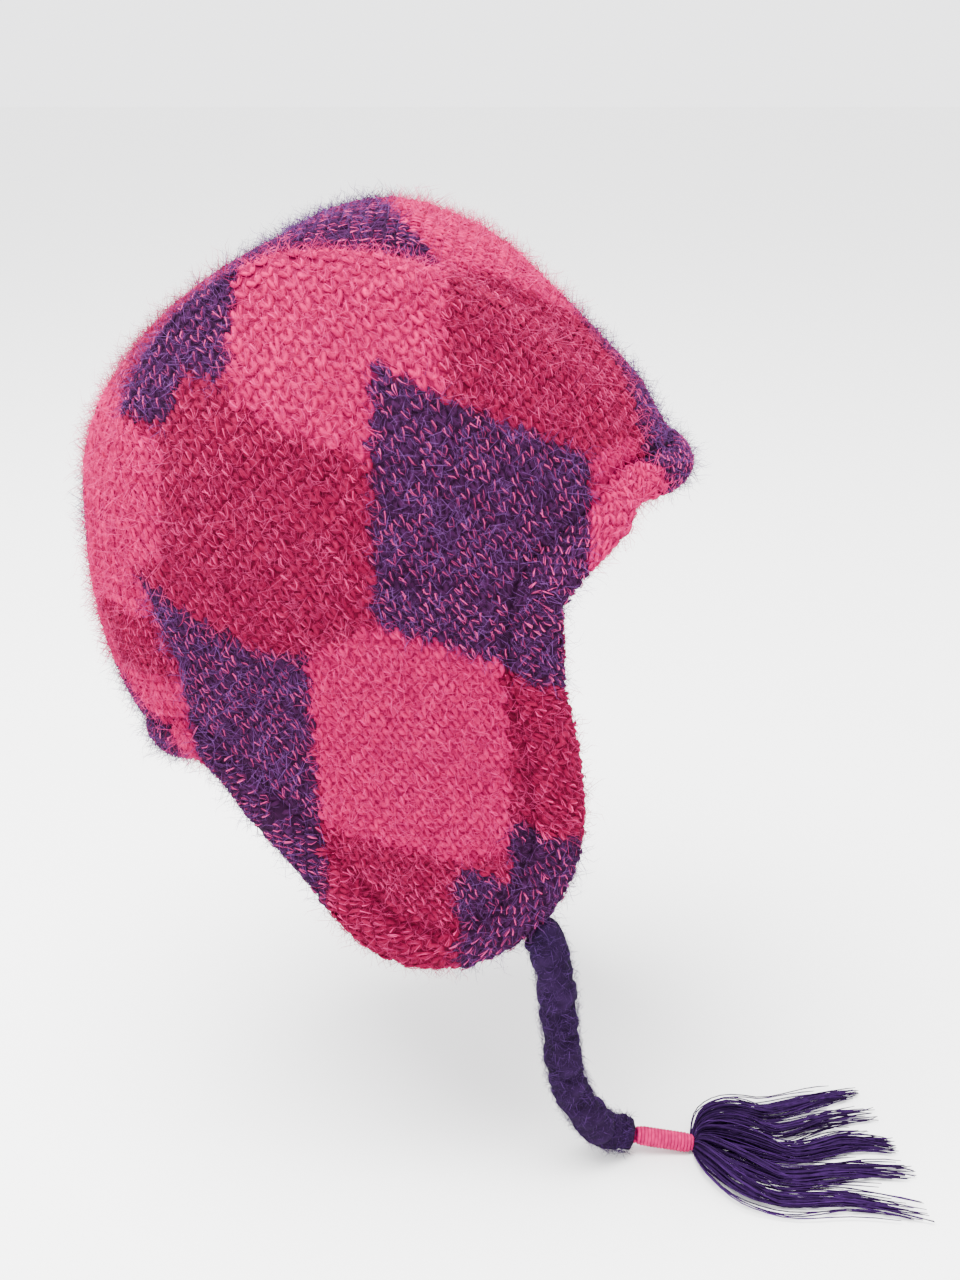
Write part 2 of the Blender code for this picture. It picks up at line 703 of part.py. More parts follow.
def main():
    clear_scene()
    hat = make_collection("Ear-flap hat")
    helpers = make_collection("Helpers")
    outline, right_points, right_faces, right_centre, rim = half_hat(SHOULDERS["right"])
    _, left_points, left_faces, left_centre, _ = half_hat(SHOULDERS["left"])
    left_points = [flip(point) for point in left_points]
    sections = band_sections(outline, rim_line(right_points, right_centre, rim))

    panel_knit = make_material("Side panel knit", RASPBERRY, 0.95)
    centre_knit = make_material("Centre panel knit", LIGHT_PINK, 0.95)
    hem_knit = make_material("Hem knit", PURPLE, 0.95)
    felt = make_material("Felted cord", VIOLET, 0.95)
    thread = make_material("Wound thread", BINDING_PINK, 0.7)
    yarn = make_material("Tassel yarn", VIOLET, 0.8)

    add_wall(add_object("side_panel_right", side_mesh("right", right_points, right_faces), panel_knit, hat))
    add_wall(add_object("side_panel_left", side_mesh("left", left_points, left_faces), panel_knit, hat))

    centre = [
        right + [flip(point) for point in reversed(left[:-1])]
        for right, left in zip(right_centre, left_centre)
    ]
    add_wall(add_object("centre_panel", strip_mesh("centre_panel", centre), centre_knit, hat))

    band = add_object("edge_band", band_mesh("edge_band", sections), hem_knit, hat)
    add_mirror(band)

    tassel = tassel_mesh("tassel", helpers, yarn)
    exit_section = sections[len(CENTRE_STEPS) - 1 + round(SECTIONS * TIE_SHARE)]
    out = exit_section[1].normalized()
    for name, route in TIE_ROUTES.items():
        root = section_point(exit_section, pi) + out * GAP
        lead = out * (TIE_DIAMETER * TIE_LEAD)
        if name == "left":
            root, lead = flip(root), flip(lead)
        points = tie_points(route, root, lead)
        add_object(f"tie_{name}", tie_curve(f"tie_{name}", points), felt, hat)
        direction = (points[-1] - points[-2]).normalized()
        start = points[-1] + direction * GAP
        binding = add_object(f"binding_{name}", binding_mesh(f"binding_{name}"), thread, hat)
        add_turn(binding)
        binding.matrix_world = along_frame(start, direction)
        end = start + direction * (BINDING_LENGTH + GAP)
        flat = Vector((direction.x, direction.y, 0.0))
        piece = add_object(f"tassel_{name}", tassel.copy(), yarn, hat)
        piece.matrix_world = along_frame(Vector((end.x, end.y, FLOOR)), flat)


main()
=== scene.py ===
"""Looks of a knitted ear-flap hat: stitches, mohair halo, hem roll, felted ties and yarn tassels.

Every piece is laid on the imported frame. Sizes are metres, +Z is up and the hat faces -Y. The knit is
real geometry: one stitch is modelled and copied over a flat chart of each panel, as a knitter's
piece would be laid out before it is sewn.
"""

import logging
from dataclasses import dataclass
from enum import Enum
from math import atan2, cos, degrees, pi, radians, sin, sqrt
from typing import Callable

import bmesh
import bpy
import numpy as np
from mathutils import Matrix, Vector
from mathutils.bvhtree import BVHTree
from mathutils.kdtree import KDTree


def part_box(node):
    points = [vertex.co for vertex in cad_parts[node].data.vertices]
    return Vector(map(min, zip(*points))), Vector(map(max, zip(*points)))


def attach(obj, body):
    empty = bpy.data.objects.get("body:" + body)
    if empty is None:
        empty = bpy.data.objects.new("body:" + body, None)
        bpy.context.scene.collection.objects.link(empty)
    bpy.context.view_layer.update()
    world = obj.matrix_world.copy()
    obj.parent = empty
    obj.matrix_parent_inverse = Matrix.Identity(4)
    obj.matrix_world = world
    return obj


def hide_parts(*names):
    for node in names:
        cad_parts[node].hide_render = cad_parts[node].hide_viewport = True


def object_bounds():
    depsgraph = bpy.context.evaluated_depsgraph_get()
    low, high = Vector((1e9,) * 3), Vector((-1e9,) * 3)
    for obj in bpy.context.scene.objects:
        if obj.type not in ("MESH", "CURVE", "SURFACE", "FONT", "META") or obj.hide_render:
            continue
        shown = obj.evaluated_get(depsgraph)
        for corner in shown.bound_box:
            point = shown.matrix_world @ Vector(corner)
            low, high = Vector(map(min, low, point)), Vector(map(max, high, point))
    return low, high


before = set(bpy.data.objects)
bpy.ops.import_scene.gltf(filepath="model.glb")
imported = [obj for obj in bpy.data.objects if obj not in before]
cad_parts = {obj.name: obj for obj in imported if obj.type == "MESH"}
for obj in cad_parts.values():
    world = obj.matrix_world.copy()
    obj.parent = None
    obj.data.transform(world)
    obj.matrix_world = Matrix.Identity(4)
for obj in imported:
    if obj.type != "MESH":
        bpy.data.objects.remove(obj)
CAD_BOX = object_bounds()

log = logging.getLogger("hat")

MM = 0.001
COLOUR_LAYER = "yarn_colour"
BODY = "root"
TINY = 1e-12                # keeps a division from failing
FLAT_AREA = 1e-9            # of a chart's triangle that is too thin to carry stitches


# Colours and yarns


def linear(colour: str) -> tuple[float, float, float]:
    """Turn an sRGB hex colour into linear red, green and blue.

    Args:
        colour: six hex digits after a hash sign.

    Returns:
        Linear red, green and blue from 0 to 1.
    """
    parts = [int(colour[i:i + 2], 16) / 255 for i in (1, 3, 5)]
    return tuple(p / 12.92 if p <= 0.04045 else ((p + 0.055) / 1.055) ** 2.4 for p in parts)


@dataclass(frozen=True)
class Blend:
    """Colours of one block of the patchwork, knitted with a thick yarn and a thin strand together."""

    yarn: str
    strand: str
    # dark colour painted in the hollows between stitches and on the cloth behind them: painted shade
    painted_shade: str
    hair: str
    strand_share: float


class Block(Enum):
    """The three yarn blends that the patchwork is knitted in."""

    PINK = Blend("#A2024C", "#B81462", "#33061A", "#B02060", 0.8)
    RASPBERRY = Blend("#720630", "#B42260", "#20030C", "#962454", 0.9)
    PURPLE = Blend("#301030", "#A83068", "#0F0510", "#583266", 0.88)


@dataclass(frozen=True)
class Patch:
    """One colour block of a chart, as an outline in the chart's own units."""

    block: Block
    corners: tuple[tuple[float, float], ...]

    def holds(self, across: float, up: float) -> bool:
        """Whether a place of the chart lies in the patch.

        Args:
            across: first coordinate of the place.
            up: second coordinate of the place.

        Returns:
            True inside the outline.
        """
        inside = False
        for (x0, y0), (x1, y1) in zip(self.corners, self.corners[1:] + self.corners[:1]):
            if (y0 > up) != (y1 > up) and across < x0 + (up - y0) / (y1 - y0) * (x1 - x0):
                inside = not inside
        return inside


# Blocks of a side panel and of the hem beside it, in the side view as (forward, up) in millimetres.
# Both sides carry the same blocks, and what no patch holds is raspberry.
SIDE_PATCHES = (
    Patch(Block.PURPLE, ((-36, 10), (-37, -14), (-38, -25), (-39, -37), (-43, -42), (-45, -39), (-52, -39),
                         (-55, -47), (-59, -55), (-68, -53), (-84, -52), (-95, -20), (-60, 10))),
    Patch(Block.PURPLE, ((3, -33), (70, -67), (69, -75), (70, -84), (68, -97), (68, -134), (55, -131),
                         (41, -124), (4, -111))),
    Patch(Block.PURPLE, ((-72, -100), (-50, -113), (-32, -121), (-17, -122), (-16, -150), (-13, -225),
                         (-46, -225), (-48, -178), (-55, -164), (-60, -144), (-63, -123), (-67, -110))),
    Patch(Block.PURPLE, ((47, -177), (43, -182), (45, -189), (45, -202), (42, -199), (30, -194),
                         (26, -201), (29, -218), (27, -240), (80, -240), (80, -187), (60, -184))),
    Patch(Block.PINK, ((-37, 10), (25, 10), (25, -43), (3, -33), (3, -62), (-38, -45))),
    Patch(Block.PINK, ((-110, -52), (-60, -56), (-61, -95), (-72, -100), (-63, -123), (-60, -144),
                       (-55, -164), (-48, -178), (-48, -200), (-110, -200))),
    Patch(Block.PINK, ((-17, -122), (4, -111), (41, -124), (44, -136), (45, -180), (43, -189), (30, -193),
                       (-14, -180))),
    Patch(Block.PINK, ((70, -67), (120, -55), (120, -110), (67, -110), (70, -84))),
)

# Blocks of the centre panel, as (degrees round the ear from straight ahead, millimetres from the
# ridge). What no patch holds is pink.
CENTRE_PATCHES = (
    Patch(Block.PURPLE, ((88, -1), (87, 7), (85, 20), (81, 34), (75, 43), (74, 60), (113, 60), (113, -1))),
    Patch(Block.PURPLE, ((55, -1), (47, 9), (37, 12), (31, 23), (24, 30), (0, 34), (0, -1))),
    Patch(Block.PURPLE, ((163, -1), (177, -1), (176, 28), (170, 30), (164, 24))),
    Patch(Block.PURPLE, ((200, -1), (240, -1), (240, 64), (222, 64), (212, 42), (203, 38))),
    Patch(Block.RASPBERRY, ((74, 60), (72, 40), (66, 33), (57, 22), (50, 10), (47, 9), (37, 12), (31, 23),
                            (24, 30), (0, 34), (0, 60))),
    Patch(Block.RASPBERRY, ((113, -1), (142, -1), (143, 30), (140, 60), (113, 60))),
    Patch(Block.RASPBERRY, ((186, 36), (200, 40), (206, 64), (186, 64))),
)

EAR_SHARE = 0.495           # height of the ear, as a share of a side panel's depth
EAR_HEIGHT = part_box("side_panel_right")[0].z * EAR_SHARE
CENTRE_START = -90          # degrees round the ear below which an angle belongs to the nape
BROW_HALF = 34 * MM         # half widths of the hem's middle blocks
NAPE_HALF = 52 * MM


def side_block(point: Vector) -> Block:
    """Block of the patchwork at a point of a side panel.

    Args:
        point: a place on the panel.

    Returns:
        The block whose patch holds it.
    """
    for patch in SIDE_PATCHES:
        if patch.holds(-point.y / MM, point.z / MM):
            return patch.block
    return Block.RASPBERRY


def centre_block(point: Vector) -> Block:
    """Block of the patchwork at a point of the centre panel.

    Args:
        point: a place on the panel.

    Returns:
        The block whose patch holds it.
    """
    turn = degrees(atan2(point.z - EAR_HEIGHT, -point.y))
    turn += 360 if turn < CENTRE_START else 0
    for patch in CENTRE_PATCHES:
        if patch.holds(turn, abs(point.x) / MM):
            return patch.block
    return Block.PINK


BlockAt = Callable[[Vector], Block]


def hem_block(point: Vector) -> Block:
    """Block of the patchwork at a point of the hem, which is the edge of the panels turned back.

    Args:
        point: a place on the hem.

    Returns:
        The block that runs over the edge there.
    """
    if abs(point.x) < (BROW_HALF if point.y < 0 else NAPE_HALF):
        return Block.PURPLE
    return side_block(point)


# Node and mesh helpers


def add_node(tree: bpy.types.NodeTree, kind: str, links: dict | None = None,
             **settings: float | str) -> bpy.types.Node:
    """Add a node, set its inputs and properties, and link its inputs.

    Args:
        tree: the node tree.
        kind: the node's type name.
        links: input name or index to the output socket that feeds it.
        settings: property or input names, with underscores for spaces, and their values.

    Returns:
        The new node.
    """
    node = tree.nodes.new(kind)
    for name, value in settings.items():
        if hasattr(node, name):
            setattr(node, name, value)
        else:
            node.inputs[name.replace("_", " ")].default_value = value
    for name, socket in (links or {}).items():
        tree.links.new(socket, node.inputs[name])
    return node


def deselect() -> None:
    """Leave nothing selected and no object in edit mode."""
    if bpy.context.object and bpy.context.object.mode != "OBJECT":
        bpy.ops.object.mode_set(mode="OBJECT")
    bpy.ops.object.select_all(action="DESELECT")


def link(piece: bpy.types.Object) -> bpy.types.Object:
    """Link an object to the scene and give it back."""
    bpy.context.scene.collection.objects.link(piece)
    return piece


def pick(piece: bpy.types.Object) -> bpy.types.Object:
    """Make one object the only selected and the active one.

    Args:
        piece: the object.

    Returns:
        The same object.
    """
    deselect()
    piece.select_set(True)
    bpy.context.view_layer.objects.active = piece
    return piece


def mesh_piece(name: str, points: np.ndarray, faces: np.ndarray, colours: np.ndarray,
               finish: bpy.types.Material) -> bpy.types.Object:
    """Make an object from arrays of points and of equally sided faces.

    Args:
        name: the object's name.
        points: one row for each point.
        faces: one row of point numbers for each face.
        colours: a linear colour for each point.
        finish: the material.

    Returns:
        The new object.
    """
    mesh = bpy.data.meshes.new(name)
    count, sides = faces.shape
    mesh.vertices.add(len(points))
    mesh.vertices.foreach_set("co", points.astype(np.float32).ravel())
    mesh.loops.add(count * sides)
    mesh.loops.foreach_set("vertex_index", faces.astype(np.int32).ravel())
    mesh.polygons.add(count)
    mesh.polygons.foreach_set("loop_start", np.arange(0, count * sides, sides, dtype=np.int32))
    mesh.update(calc_edges=True)
    mesh.validate()
    mesh.shade_smooth()
    piece = link(bpy.data.objects.new(name, mesh))
    paint(piece, colours, finish)
    return piece


def tube_faces(rows: int, sides: int, closed: bool = False) -> np.ndarray:
    """Triangles of a tube's wall, whose rings of points turn right-handed about its direction.

    Args:
        rows: how many rings it has.
        sides: how many points a ring has.
        closed: whether the last ring joins the first.

    Returns:
        One row of point numbers for each triangle.
    """
    a = np.arange(rows * sides).reshape(rows, sides)
    b, d = np.roll(a, -1, 1), np.roll(a, -1, 0)
    c = np.roll(b, -1, 0)
    if not closed:
        a, b, c, d = (corner[:-1] for corner in (a, b, c, d))
    return np.vstack([np.column_stack([x.ravel() for x in corners]) for corners in ((a, b, c), (a, c, d))])


def cap_faces(rows: int, sides: int) -> np.ndarray:
    """Triangles that close both ends of such a tube."""
    last = (rows - 1) * sides
    caps = [(0, j + 1, j) for j in range(1, sides - 1)]
    return np.array(caps + [(last, last + j, last + j + 1) for j in range(1, sides - 1)])


def paint(piece: bpy.types.Object, colours: np.ndarray, finish: bpy.types.Material) -> None:
    """Store a linear colour for each point of a piece, and give it the finish that reads it.

    Args:
        piece: the object.
        colours: one row of red, green and blue for each point.
        finish: the material.
    """
    layer = piece.data.color_attributes.new(COLOUR_LAYER, "FLOAT_COLOR", "POINT")
    full = np.ones((len(colours), 4), np.float32)
    full[:, :3] = colours
    layer.data.foreach_set("color", full.ravel())
    piece.data.materials.append(finish)


# Finishes


@dataclass(frozen=True)
class WoolFinish:
    """A wool, mohair or cotton yarn: matt, as light is scattered many times between its loose fibres.

    Its colour comes from the colour stored on the piece. A noise as fine as a few fibres breaks it
    up and roughens it, as the mixed fibres of a brushed yarn do.
    """

    name: str
    fibre: float = 0.35 * MM
    clump: float = 6.0
    mottle: float = 0.3
    roughness: float = 0.95
    gloss: float = 0.04
    ior: float = 1.55
    relief: float = 0.10 * MM
    bump: float = 0.6

    def build(self) -> bpy.types.Material:
        """Make the material.

        Returns:
            The new material.
        """
        material = bpy.data.materials.new(self.name)
        material.use_nodes = True
        tree = material.node_tree
        shader = tree.nodes["Principled BSDF"]
        shader.inputs["Roughness"].default_value = self.roughness
        shader.inputs["IOR"].default_value = self.ior
        shader.inputs["Specular IOR Level"].default_value = self.gloss
        place = add_node(tree, "ShaderNodeTexCoord")
        stored = add_node(tree, "ShaderNodeAttribute", attribute_name=COLOUR_LAYER)
        fuzz = add_node(tree, "ShaderNodeTexNoise", {"Vector": place.outputs["Object"]},
                        Scale=1 / (self.fibre * self.clump), Detail=3.0, Roughness=0.7)
        level = add_node(tree, "ShaderNodeMapRange", {"Value": fuzz.outputs["Fac"]},
                         From_Min=0.3, From_Max=0.7, To_Min=1 - self.mottle, To_Max=1 + self.mottle)
        tint = add_node(tree, "ShaderNodeVectorMath",
                        {0: stored.outputs["Color"], 1: level.outputs["Result"]}, operation="MULTIPLY")
        tree.links.new(tint.outputs["Vector"], shader.inputs["Base Color"])
        bump = add_node(tree, "ShaderNodeBump", {"Height": fuzz.outputs["Fac"]},
                        Strength=self.bump, Distance=self.relief)
        tree.links.new(bump.outputs["Normal"], shader.inputs["Normal"])
        return material


@dataclass(frozen=True)
class FloorFinish:
    """Matt white studio board: even, with no gloss that shows."""

    name: str = "Studio floor board"
    colour: str = "#F6F6F5"
    roughness: float = 0.9

    def build(self) -> bpy.types.Material:
        """Make the material.

        Returns:
            The new material.
        """
        material = bpy.data.materials.new(self.name)
        material.use_nodes = True
        shader = material.node_tree.nodes["Principled BSDF"]
        shader.inputs["Base Color"].default_value = (*linear(self.colour), 1.0)
        shader.inputs["Roughness"].default_value = self.roughness
        return material


# The knit


@dataclass
class Stitch:
    """One stitch: two plump legs of yarn that meet below.

    It is modelled a unit wide along its row and a unit high along its column, and its height off
    the cloth is in metres.
    """

    leg: tuple[tuple[float, float, float], ...] = (
        (-0.25, 0.66, -0.7), (-0.29, 0.32, 0.25), (-0.21, -0.06, 0.42), (-0.07, -0.44, -0.25))
    radius: float = 0.86 * MM
    end_share: float = 0.55
    flatness: float = 0.66
    cell: float = 3.9 * MM

    def build(self) -> tuple[np.ndarray, np.ndarray]:
        """Model the two legs as bevelled curves, and turn them into a mesh.

        Returns:
            The stitch's points and its triangles.
        """
        deselect()
        curve = bpy.data.curves.new("stitch", "CURVE")
        curve.dimensions = "3D"
        curve.bevel_depth = self.radius
        curve.bevel_resolution = 0
        curve.use_fill_caps = True
        for side in (1, -1):
            spline = curve.splines.new("POLY")
            spline.points.add(len(self.leg) - 1)
            spline.use_smooth = True
            for i, (point, (x, y, z)) in enumerate(zip(spline.points, self.leg)):
                point.co = (side * x * self.cell, y * self.cell, z * self.radius, 1.0)
                point.radius = self.end_share if i in (0, len(self.leg) - 1) else 1.0
        piece = pick(link(bpy.data.objects.new("stitch", curve)))
        bpy.ops.object.convert(target="MESH")
        bpy.ops.object.mode_set(mode="EDIT")
        bpy.ops.mesh.select_all(action="SELECT")
        bpy.ops.mesh.remove_doubles(threshold=0.01 * MM)
        bpy.ops.mesh.normals_make_consistent(inside=False)
        bpy.ops.mesh.quads_convert_to_tris()
        bpy.ops.object.mode_set(mode="OBJECT")
        points = np.array([v.co for v in piece.data.vertices])
        faces = np.array([tuple(p.vertices) for p in piece.data.polygons])
        bpy.data.objects.remove(piece, do_unlink=True)
        points[:, :2] /= self.cell
        points[:, 2] *= self.flatness
        return points, faces


@dataclass
class Chart:
    """A surface laid out flat: its points in space and on the flat chart, and its triangles."""

    points: np.ndarray
    normals: np.ndarray
    flat: np.ndarray
    faces: np.ndarray

    def area(self) -> np.ndarray:
        """Area of each triangle in space."""
        a, b, c = (self.points[self.faces[:, k]] for k in range(3))
        return np.linalg.norm(np.cross(b - a, c - a), axis=1) / 2

    def border(self) -> set[int]:
        """Find the chart's open edge.

        Returns:
            The numbers of the points on it.
        """
        edges: dict = {}
        for face in self.faces:
            for a, b in zip(face, np.roll(face, -1)):
                key = (min(a, b), max(a, b))
                edges[key] = edges.get(key, 0) + 1
        return {v for key, uses in edges.items() if uses == 1 for v in key}

    def slopes(self) -> np.ndarray:
        """Work out how a step on the flat chart turns into one in space.

        Returns:
            For each point a matrix of three rows and two columns, averaged over its triangles.
        """
        total = np.zeros((len(self.points), 3, 2))
        weight = np.zeros(len(self.points))
        for face, area in zip(self.faces, self.area()):
            a, b, c = face
            flat = np.column_stack([self.flat[b] - self.flat[a], self.flat[c] - self.flat[a]])
            if abs(np.linalg.det(flat)) < FLAT_AREA:
                continue
            space = np.column_stack([self.points[b] - self.points[a], self.points[c] - self.points[a]])
            total[face] += space @ np.linalg.inv(flat) * area
            weight[face] += area
        return total / np.maximum(weight, TINY)[:, None, None]

    def lattice(self, row: tuple[float, float],
                column: tuple[float, float]) -> tuple[np.ndarray, np.ndarray]:
        """Find the nodes of a lattice on the flat chart.

        Args:
            row: step from stitch to stitch along a row, on the flat chart.
            column: step from row to row, on the flat chart.

        Returns:
            For each node its triangle's number, and its place there as three shares.
        """
        steps = np.array([row, column]).T
        inverse = np.linalg.inv(steps)
        numbers, places = [], []
        for index, face in enumerate(self.faces):
            corners = self.flat[face]
            grid = corners @ inverse.T
            low, high = np.ceil(grid.min(0)), np.floor(grid.max(0))
            edges = np.column_stack([corners[1] - corners[0], corners[2] - corners[0]])
            if (high < low).any() or abs(np.linalg.det(edges)) < FLAT_AREA:
                continue
            u, v = np.meshgrid(np.arange(low[0], high[0] + 1), np.arange(low[1], high[1] + 1))
            nodes = np.column_stack([u.ravel(), v.ravel()]) @ steps.T
            shares = (nodes - corners[0]) @ np.linalg.inv(edges).T
            for s, t in shares[(shares >= 0).all(1) & (shares.sum(1) < 1)]:
                numbers.append(index)
                places.append((1 - s - t, s, t))
        return np.array(numbers), np.array(places)

    def read(self, values: np.ndarray, numbers: np.ndarray, shares: np.ndarray) -> np.ndarray:
        """Read values that are known at the points, at places inside triangles."""
        return np.einsum("nk,nk...->n...", shares, values[self.faces[numbers]])

    def scatter(self, rng: np.random.Generator, count: int) -> tuple[np.ndarray, np.ndarray]:
        """Spread places evenly at random over the surface.

        Args:
            rng: the random source.
            count: how many places.

        Returns:
            For each place its triangle's number, and its place there as three shares.
        """
        area = self.area()
        return rng.choice(len(area), count, p=area / area.sum()), rng.dirichlet((1, 1, 1), count)


def unit(vectors: np.ndarray) -> np.ndarray:
    """Vectors of length one."""
    return vectors / np.maximum(np.linalg.norm(vectors, axis=-1, keepdims=True), TINY)


def ribbons(name: str, roots: np.ndarray, middles: np.ndarray, tips: np.ndarray, width: float,
            colours: np.ndarray, rng: np.random.Generator, finish: bpy.types.Material) -> bpy.types.Object:
    """Make hairs, each a thin ribbon of three triangles through three places.

    Args:
        name: the piece's name.
        roots: where the hairs start.
        middles: their middles.
        tips: where they end in a point.
        width: their width at the root.
        colours: a linear colour for each.
        rng: the random source, which turns each ribbon.
        finish: the material.

    Returns:
        The piece.
    """
    side = unit(np.cross(tips - roots, rng.normal(size=roots.shape))) * width / 2
    points = np.stack([roots - side, roots + side, middles - side * 0.8, middles + side * 0.8, tips], 1)
    base = np.arange(len(roots))[:, None, None] * 5
    faces = np.array([(0, 1, 3), (0, 3, 2), (2, 3, 4)])[None] + base
    log.info("%s: %d hairs", name, len(roots))
    return mesh_piece(name, points.reshape(-1, 3), faces.reshape(-1, 3), np.repeat(colours, 5, axis=0),
                      finish)


@dataclass
class Knit:
    """Stitches, thin strands and loose hairs laid over a chart.

    The strand_route is the strand's way along a stitch's leg, as (across, up) shares of the stitch
    and a height in strand_height. The pair of hair_rise shapes the spread of the hairs' lifts, from
    0 for lying to 1 for upright. A real mohair hair is 0.03 mm thick, and hairs and strands are drawn
    as wide as they need to show.
    """

    name: str
    chart: Chart
    block_at: BlockAt
    row: tuple[float, float]
    column: tuple[float, float]
    seed: int
    hairs: int
    groove: KDTree
    sway: float = 0.09
    stretch: tuple[float, float] = (0.8, 1.25)
    unevenness: float = 0.12 * MM
    yarn_tones: tuple[float, float] = (0.8, 1.2)
    groove_width: float = 1.7 * MM
    # how much darker the yarn is painted in the hem's groove: painted shade in the crease
    groove_painted_shade: float = 0.6
    groove_clear: float = 1.2
    # painted shade on the low parts of each stitch: it starts below shade_start, deepens over shade_reach
    # and is at most shade_most
    shade_start: float = 0.25 * MM
    shade_reach: float = 1.0 * MM
    shade_most: float = 0.8
    strand_copies: int = 2
    strand_route: tuple[tuple[float, float, float], ...] = (
        (0.31, 0.46, 0.85), (0.235, 0.04, 1.12), (0.05, -0.40, 0.78))
    strand_height: float = 1.5
    strand_legs: float = 0.86
    strand_wander: float = 0.08
    strand_tones: tuple[float, float] = (0.3, 1.2)
    strand_width: float = 0.40 * MM
    hair_lengths: tuple[float, float] = (2.0 * MM, 4.5 * MM)
    hair_stretch: float = 1.2
    hair_root: float = 0.4 * MM
    hair_rise: tuple[float, float] = (1.0, 1.4)
    hair_curl: float = 0.4
    hair_tones: tuple[float, float] = (0.8, 1.3)
    hair_width: float = 0.13 * MM

    def __post_init__(self) -> None:
        """Find each stitch's place, its directions and its blend."""
        self.rng = np.random.default_rng(self.seed)
        numbers, shares = self.chart.lattice(self.row, self.column)
        self.places = self.chart.read(self.chart.points, numbers, shares)
        self.normals = unit(self.chart.read(self.chart.normals, numbers, shares))
        slopes = self.chart.read(self.chart.slopes(), numbers, shares)
        self.along = self.held(slopes @ np.array(self.row), self.row)
        self.upward = self.held(-slopes @ np.array(self.column), self.column)
        self.blends = self.blends_at(self.places)

    def blends_at(self, places: np.ndarray) -> list[Blend]:
        """Blends of the patchwork at places."""
        return [self.block_at(Vector(place)).value for place in places]

    def held(self, steps: np.ndarray, nominal: tuple[float, float]) -> np.ndarray:
        """Lay steps in the surface and keep their lengths near the nominal one.

        Args:
            steps: one step in space for each stitch.
            nominal: the same step on the flat chart.

        Returns:
            The steps, changed.
        """
        steps = steps - self.normals * (steps * self.normals).sum(1)[:, None]
        size = sqrt(nominal[0] ** 2 + nominal[1] ** 2)
        length = np.linalg.norm(steps, axis=1)[:, None]
        return unit(steps) * np.clip(length, size * self.stretch[0], size * self.stretch[1])

    def sunk(self, places: np.ndarray) -> np.ndarray:
        """How deep in the hem's groove places lie: 1 at its line, nearly 0 at twice its width. It sets how
        much darker the yarn there is painted, as painted shade, and how many strands and hairs are left out.
        """
        gaps = np.array([self.groove.find(place)[2] for place in places])[:, None]
        return np.exp(-(gaps / self.groove_width) ** 2)

    def colour_of(self, part: str) -> np.ndarray:
        """Linear colour of a part of the blend, for each stitch."""
        return np.array([linear(getattr(blend, part)) for blend in self.blends])

    def stitches(self, finish: bpy.types.Material) -> bpy.types.Object:
        """Lay a stitch at each node of the lattice.

        Args:
            finish: the yarn's material.

        Returns:
            The piece.
        """
        shape, faces = Stitch().build()
        count, size = len(self.places), len(shape)
        lean, grow = self.rng.normal(0, self.sway, (2, count, 1))
        lift = self.rng.normal(0, self.unevenness, (count, 1))
        across = shape[None, :, 0] * (1 + grow) + shape[None, :, 1] * lean
        up = shape[None, :, 1] * (1 - grow)
        off = shape[None, :, 2] + lift
        points = (self.places[:, None] + across[..., None] * self.along[:, None]
                  + up[..., None] * self.upward[:, None] + off[..., None] * self.normals[:, None])
        yarn = self.colour_of("yarn") * self.rng.uniform(*self.yarn_tones, (count, 1))
        # Yarn near the hem's groove is darkened: painted shade in the crease.
        yarn = yarn * (1 - self.groove_painted_shade * self.sunk(self.places))
        # Parts of a stitch that lie low in the cloth are mixed towards the block's shade colour: painted
        # shade in the hollows between stitches.
        deep = np.clip((self.shade_start - shape[:, 2]) / self.shade_reach, 0, self.shade_most)[:, None]
        colours = yarn[:, None] * (1 - deep) + self.colour_of("painted_shade")[:, None] * deep
        all_faces = faces[None] + np.arange(count)[:, None, None] * size
        turned = (np.cross(self.along, self.upward) * self.normals).sum(1) < 0
        all_faces[turned] = all_faces[turned][..., ::-1]
        log.info("%s: %d stitches, %d triangles", self.name, count, count * len(faces))
        return mesh_piece(self.name + "_stitches", points.reshape(-1, 3), all_faces.reshape(-1, 3),
                          colours.reshape(-1, 3), finish)

    def strands(self, finish: bpy.types.Material) -> bpy.types.Object:
        """Lay the thin bright strand along the legs of most stitches.

        Args:
            finish: the strand's material.

        Returns:
            The piece.
        """
        routes, colours = ([], [], []), []
        bright = self.colour_of("strand")
        share = np.array([blend.strand_share for blend in self.blends])
        shown = self.rng.random(len(share)) < share * (1 - self.sunk(self.places)[:, 0])
        height = Stitch().radius * Stitch().flatness * self.strand_height
        for side in (-1, 1):
            keep = shown & (self.rng.random(len(share)) < self.strand_legs)
            count = keep.sum()
            for _ in range(self.strand_copies):
                wander = self.rng.normal(0, self.strand_wander, (3, count, 2))
                for route, shift, (x, y, z) in zip(routes, wander, self.strand_route):
                    route.append(self.places[keep] + self.along[keep] * (side * x + shift[:, :1])
                                 + self.upward[keep] * (y + shift[:, 1:]) + self.normals[keep] * height * z)
                colours.append(bright[keep] * self.rng.uniform(*self.strand_tones, (count, 1)))
        return ribbons(self.name + "_strands", *(np.vstack(route) for route in routes),
                       self.strand_width, np.vstack(colours), self.rng, finish)

